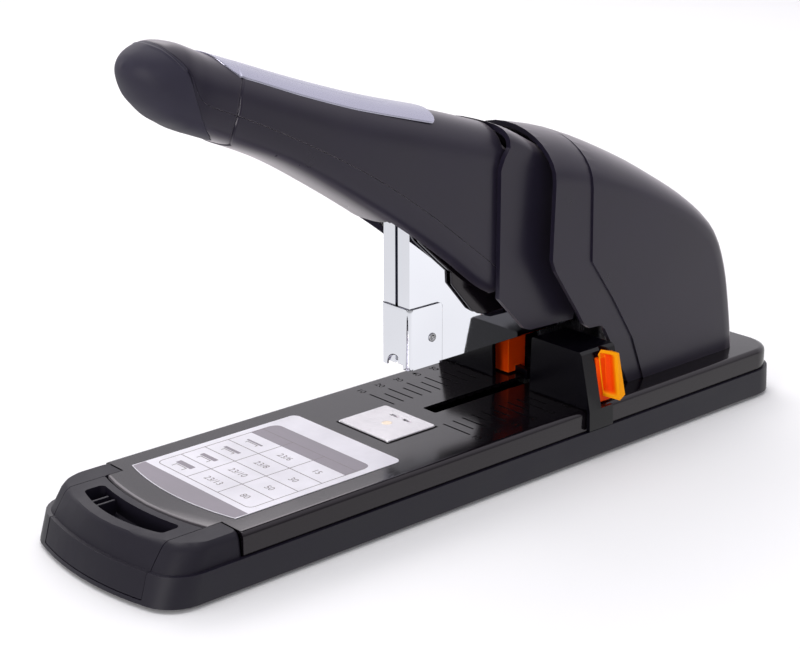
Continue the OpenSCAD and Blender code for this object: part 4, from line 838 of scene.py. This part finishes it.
def skin(outline, v, end, deep, counts):
    """One face of a shell, at that depth into the wall: a grid of points from the tip's edge to end, or
    to the rear edge under the hood, and the place of each row."""
    start = settle(lambda s, t: tip_edge(t) + 0.15, outline, v, deep, 15)
    last = settle(rear_end, outline, v, deep, 160) if end is None else np.full(v.shape, float(end))
    middle = 38.3 + (step_back(v) if outline is under else 0)
    s = stations(start, last, middle, counts)
    y, t = outline(s, v[None, :], deep)
    return hand_points(s, y, t), s


v = np.linspace(-1, 1, 97)
outer, _ = skin(over, v, None, 0.0, (24, 16, 90))
inner, _ = skin(over, v, None, WALL, (24, 16, 90))
upper = walled("upper_shell", outer, inner, shell_plastic)

# The lower shell is open underneath from behind the grip, where the lever passes, and is drilled
# for its two screws.
LOWER_END, OPEN_FROM, OPEN_HALF = 184, 122.0, 12.2
outer, place = skin(under, v, LOWER_END, 0.0, (10, 16, 90))
inner, _ = skin(under, v, LOWER_END, WALL, (10, 16, 90))
reach = np.abs(under(np.full(v.shape, 150.0), v, 0.0)[0]) < OPEN_HALF
keep = ~((place[:-1, :-1] > OPEN_FROM) & (reach[:-1] & reach[1:])[None, :])
lower = walled("lower_shell", outer, inner, shell_plastic, keep)
SIDES, HOLE = 32, 2.0
turn_a = np.linspace(0, 2 * np.pi, SIDES + 1)[:-1]
i = np.arange(SIDES)
j = (i + 1) % SIDES
drill_points, drill_faces = [], []
for k, s in enumerate((56.0, 112.0)):
    bottom = float(section(np.array(s))[1])
    drill_points += [hand_points(s + HOLE * np.cos(turn_a), HOLE * np.sin(turn_a), t)
                     for t in (bottom - 3, bottom + 14)]
    start = 2 * SIDES * k
    drill_faces += (start + np.stack([i, i + SIDES, j + SIDES, j], 1)).tolist()
    drill_faces += [(start + i).tolist(), (start + SIDES + i[::-1]).tolist()]
drill = mesh_object("screw_drill", np.vstack(drill_points), drill_faces, shell_plastic)
drill.hide_render = True
drilled = lower.modifiers.new("screw_holes", "BOOLEAN")
drilled.operation = "DIFFERENCE"
drilled.solver = "EXACT"
drilled.object = drill
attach(drill, "handle")
for piece, node in ((upper, "handle_upper"), (lower, "handle_lower")):
    soften(piece, 0.22, 50)
    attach(piece, "handle")
    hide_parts(node)
dress("handle_screws", steel, 0.15)
dress("handle_spring", spring_steel, 0)
dress("handle_lever", deck_paint, 0.3)

# ---------------------------------------------------------------------------------------------
# Handle tip: a separate soft-touch moulding, bluish black, that closes the front of the shells.
# A fine raised crease with a shallow groove beside it runs round its face.
# ---------------------------------------------------------------------------------------------
soft_touch = grained("soft_touch", (0.022, 0.019, 0.036), 0.58, 0.22, 0.006, specular=0.34, sheen=0.03)
v = np.linspace(-1, 1, 81)


def ring(s, w, deep=0.0):
    """The whole outline once round: the crown for w from -1 to 1, the keel for w from 1 to 3."""
    y_over, t_over = over(s, np.where(w < 1, w, 0), deep, 0.0, True)
    y_under, t_under = under(s, np.where(w < 1, 0, w - 2), deep, 0.0, True)
    return np.where(w < 1, y_over, -y_under), np.where(w < 1, t_over, t_under)


around = np.concatenate([v[:-1], v[:-1] + 2])
edge_s = settle(lambda s, t: tip_edge(t), ring, around, 0.0, 15)
grow = np.linspace(0, 1, 72)[:, None]
s = edge_s[None, :] * grow ** 1.5
y, t = ring(s, around[None, :])
top = section(s)[0]
crease = np.interp(s, [3.3, 5, 7.4, 10, 13.5, 16.1, 18, 21], [15, 16.6, 16.1, 14.4, 12, 10.4, 8.9, 5.6])
e = t - np.minimum(crease, top)
deep = -0.28 * np.exp(-(e / 0.45) ** 2) + 0.25 * np.exp(-((e - 1.0) / 0.45) ** 2)
deep = deep * np.clip((s - 3) / 2, 0, 1)
deep = deep * np.clip((edge_s[None, :] - s) / 2.5, 0, 1)
y, t = ring(s, around[None, :], np.where(around[None, :] < 1, deep, 0.0))
points = hand_points(s, y, t)
n, m = points.shape[:2]
cell = np.arange(n * m).reshape(n, m)
nxt = np.roll(cell, -1, 1)
faces = np.stack([cell[:-1], nxt[:-1], nxt[1:], cell[1:]], -1).reshape(-1, 4).tolist()
faces.append(cell[0, ::-1].tolist())
# Its rear is closed by rungs between facing points, first over the crown, then over the keel.
rear = cell[-1]
for start, total in ((0, m // 2), (m // 2, 3 * m // 2)):
    for k in range(start, start + m // 4):
        faces.append([rear[k], rear[k + 1], rear[(total - k - 1) % m], rear[(total - k) % m]])
tip = mesh_object("soft_tip", points.reshape(-1, 3), faces, soft_touch)
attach(tip, "handle")
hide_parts("handle_tip")

# ---------------------------------------------------------------------------------------------
# Inlay: a thin lacquered strip bedded on the crown, brushed lengthwise, with a pointed arch for
# its front end, a fine groove pressed round its middle, and small rounded edges.
# ---------------------------------------------------------------------------------------------
silver = plated("silver_lacquer", (0.47, 0.465, 0.57), 0.28, (5.0, 0.18, 5.0), 0.0008, stain=0.04)
INLAY_END = 129.5


def inlay_face(lift, groove=0.0):
    """A grid over the inlay, that far above the handle's skin: columns fan from the middle to each side,
    and rows run from the arched front end to the straight rear one, which stands off by another
    0.42 mm. A groove that deep follows a long rounded rectangle."""
    w = np.sin(np.linspace(-1, 1, 121) * np.pi / 2 * 0.92) / np.sin(np.pi / 2 * 0.92)
    front = 40.5 - 12.5 * np.sqrt(1 - w ** 2)
    s = front + (INLAY_END - front) * np.linspace(0, 1, 181)[:, None] ** 1.15
    half = np.interp(s, [28, 45, 63, 87, 111, 124, 130], [13.4, 13.2, 13.3, 13.1, 13.3, 13.5, 13.55])
    half = half - 2 + np.sqrt(np.maximum(4 - np.maximum(s - INLAY_END + 2, 0) ** 2, 0))
    y = -w * half
    top, bottom, wide, up, down, seam = section(s)
    crown = np.minimum(17.0, (top - bottom) / 2)
    out = np.maximum(np.abs(y) - 7.6 + 3, 0)
    ends = np.maximum(np.maximum(43 - s, s - 107), 0)
    far = np.hypot(out, ends) - 3
    rise = lift + 0.42 * np.clip((s - 92) / 36, 0, 1) - groove * np.exp(-(far / 0.3) ** 2)
    wide = wide - slimmer(s, 10.0) + rise
    return hand_points(s, y, top - crown + (crown + rise) * (1 - np.abs(y / wide) ** up) ** (1 / up))


inlay = walled("silver_inlay", inlay_face(0.46, 0.14), inlay_face(0.06), silver)
soften(inlay, 0.2, 50)
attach(inlay, "handle")
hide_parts("handle_inlay")

# ---------------------------------------------------------------------------------------------
# Hood: the arch at the handle's root that turns with it, in the shells' plastic.
# ---------------------------------------------------------------------------------------------
dress("handle_hood", shell_plastic, 0.5)
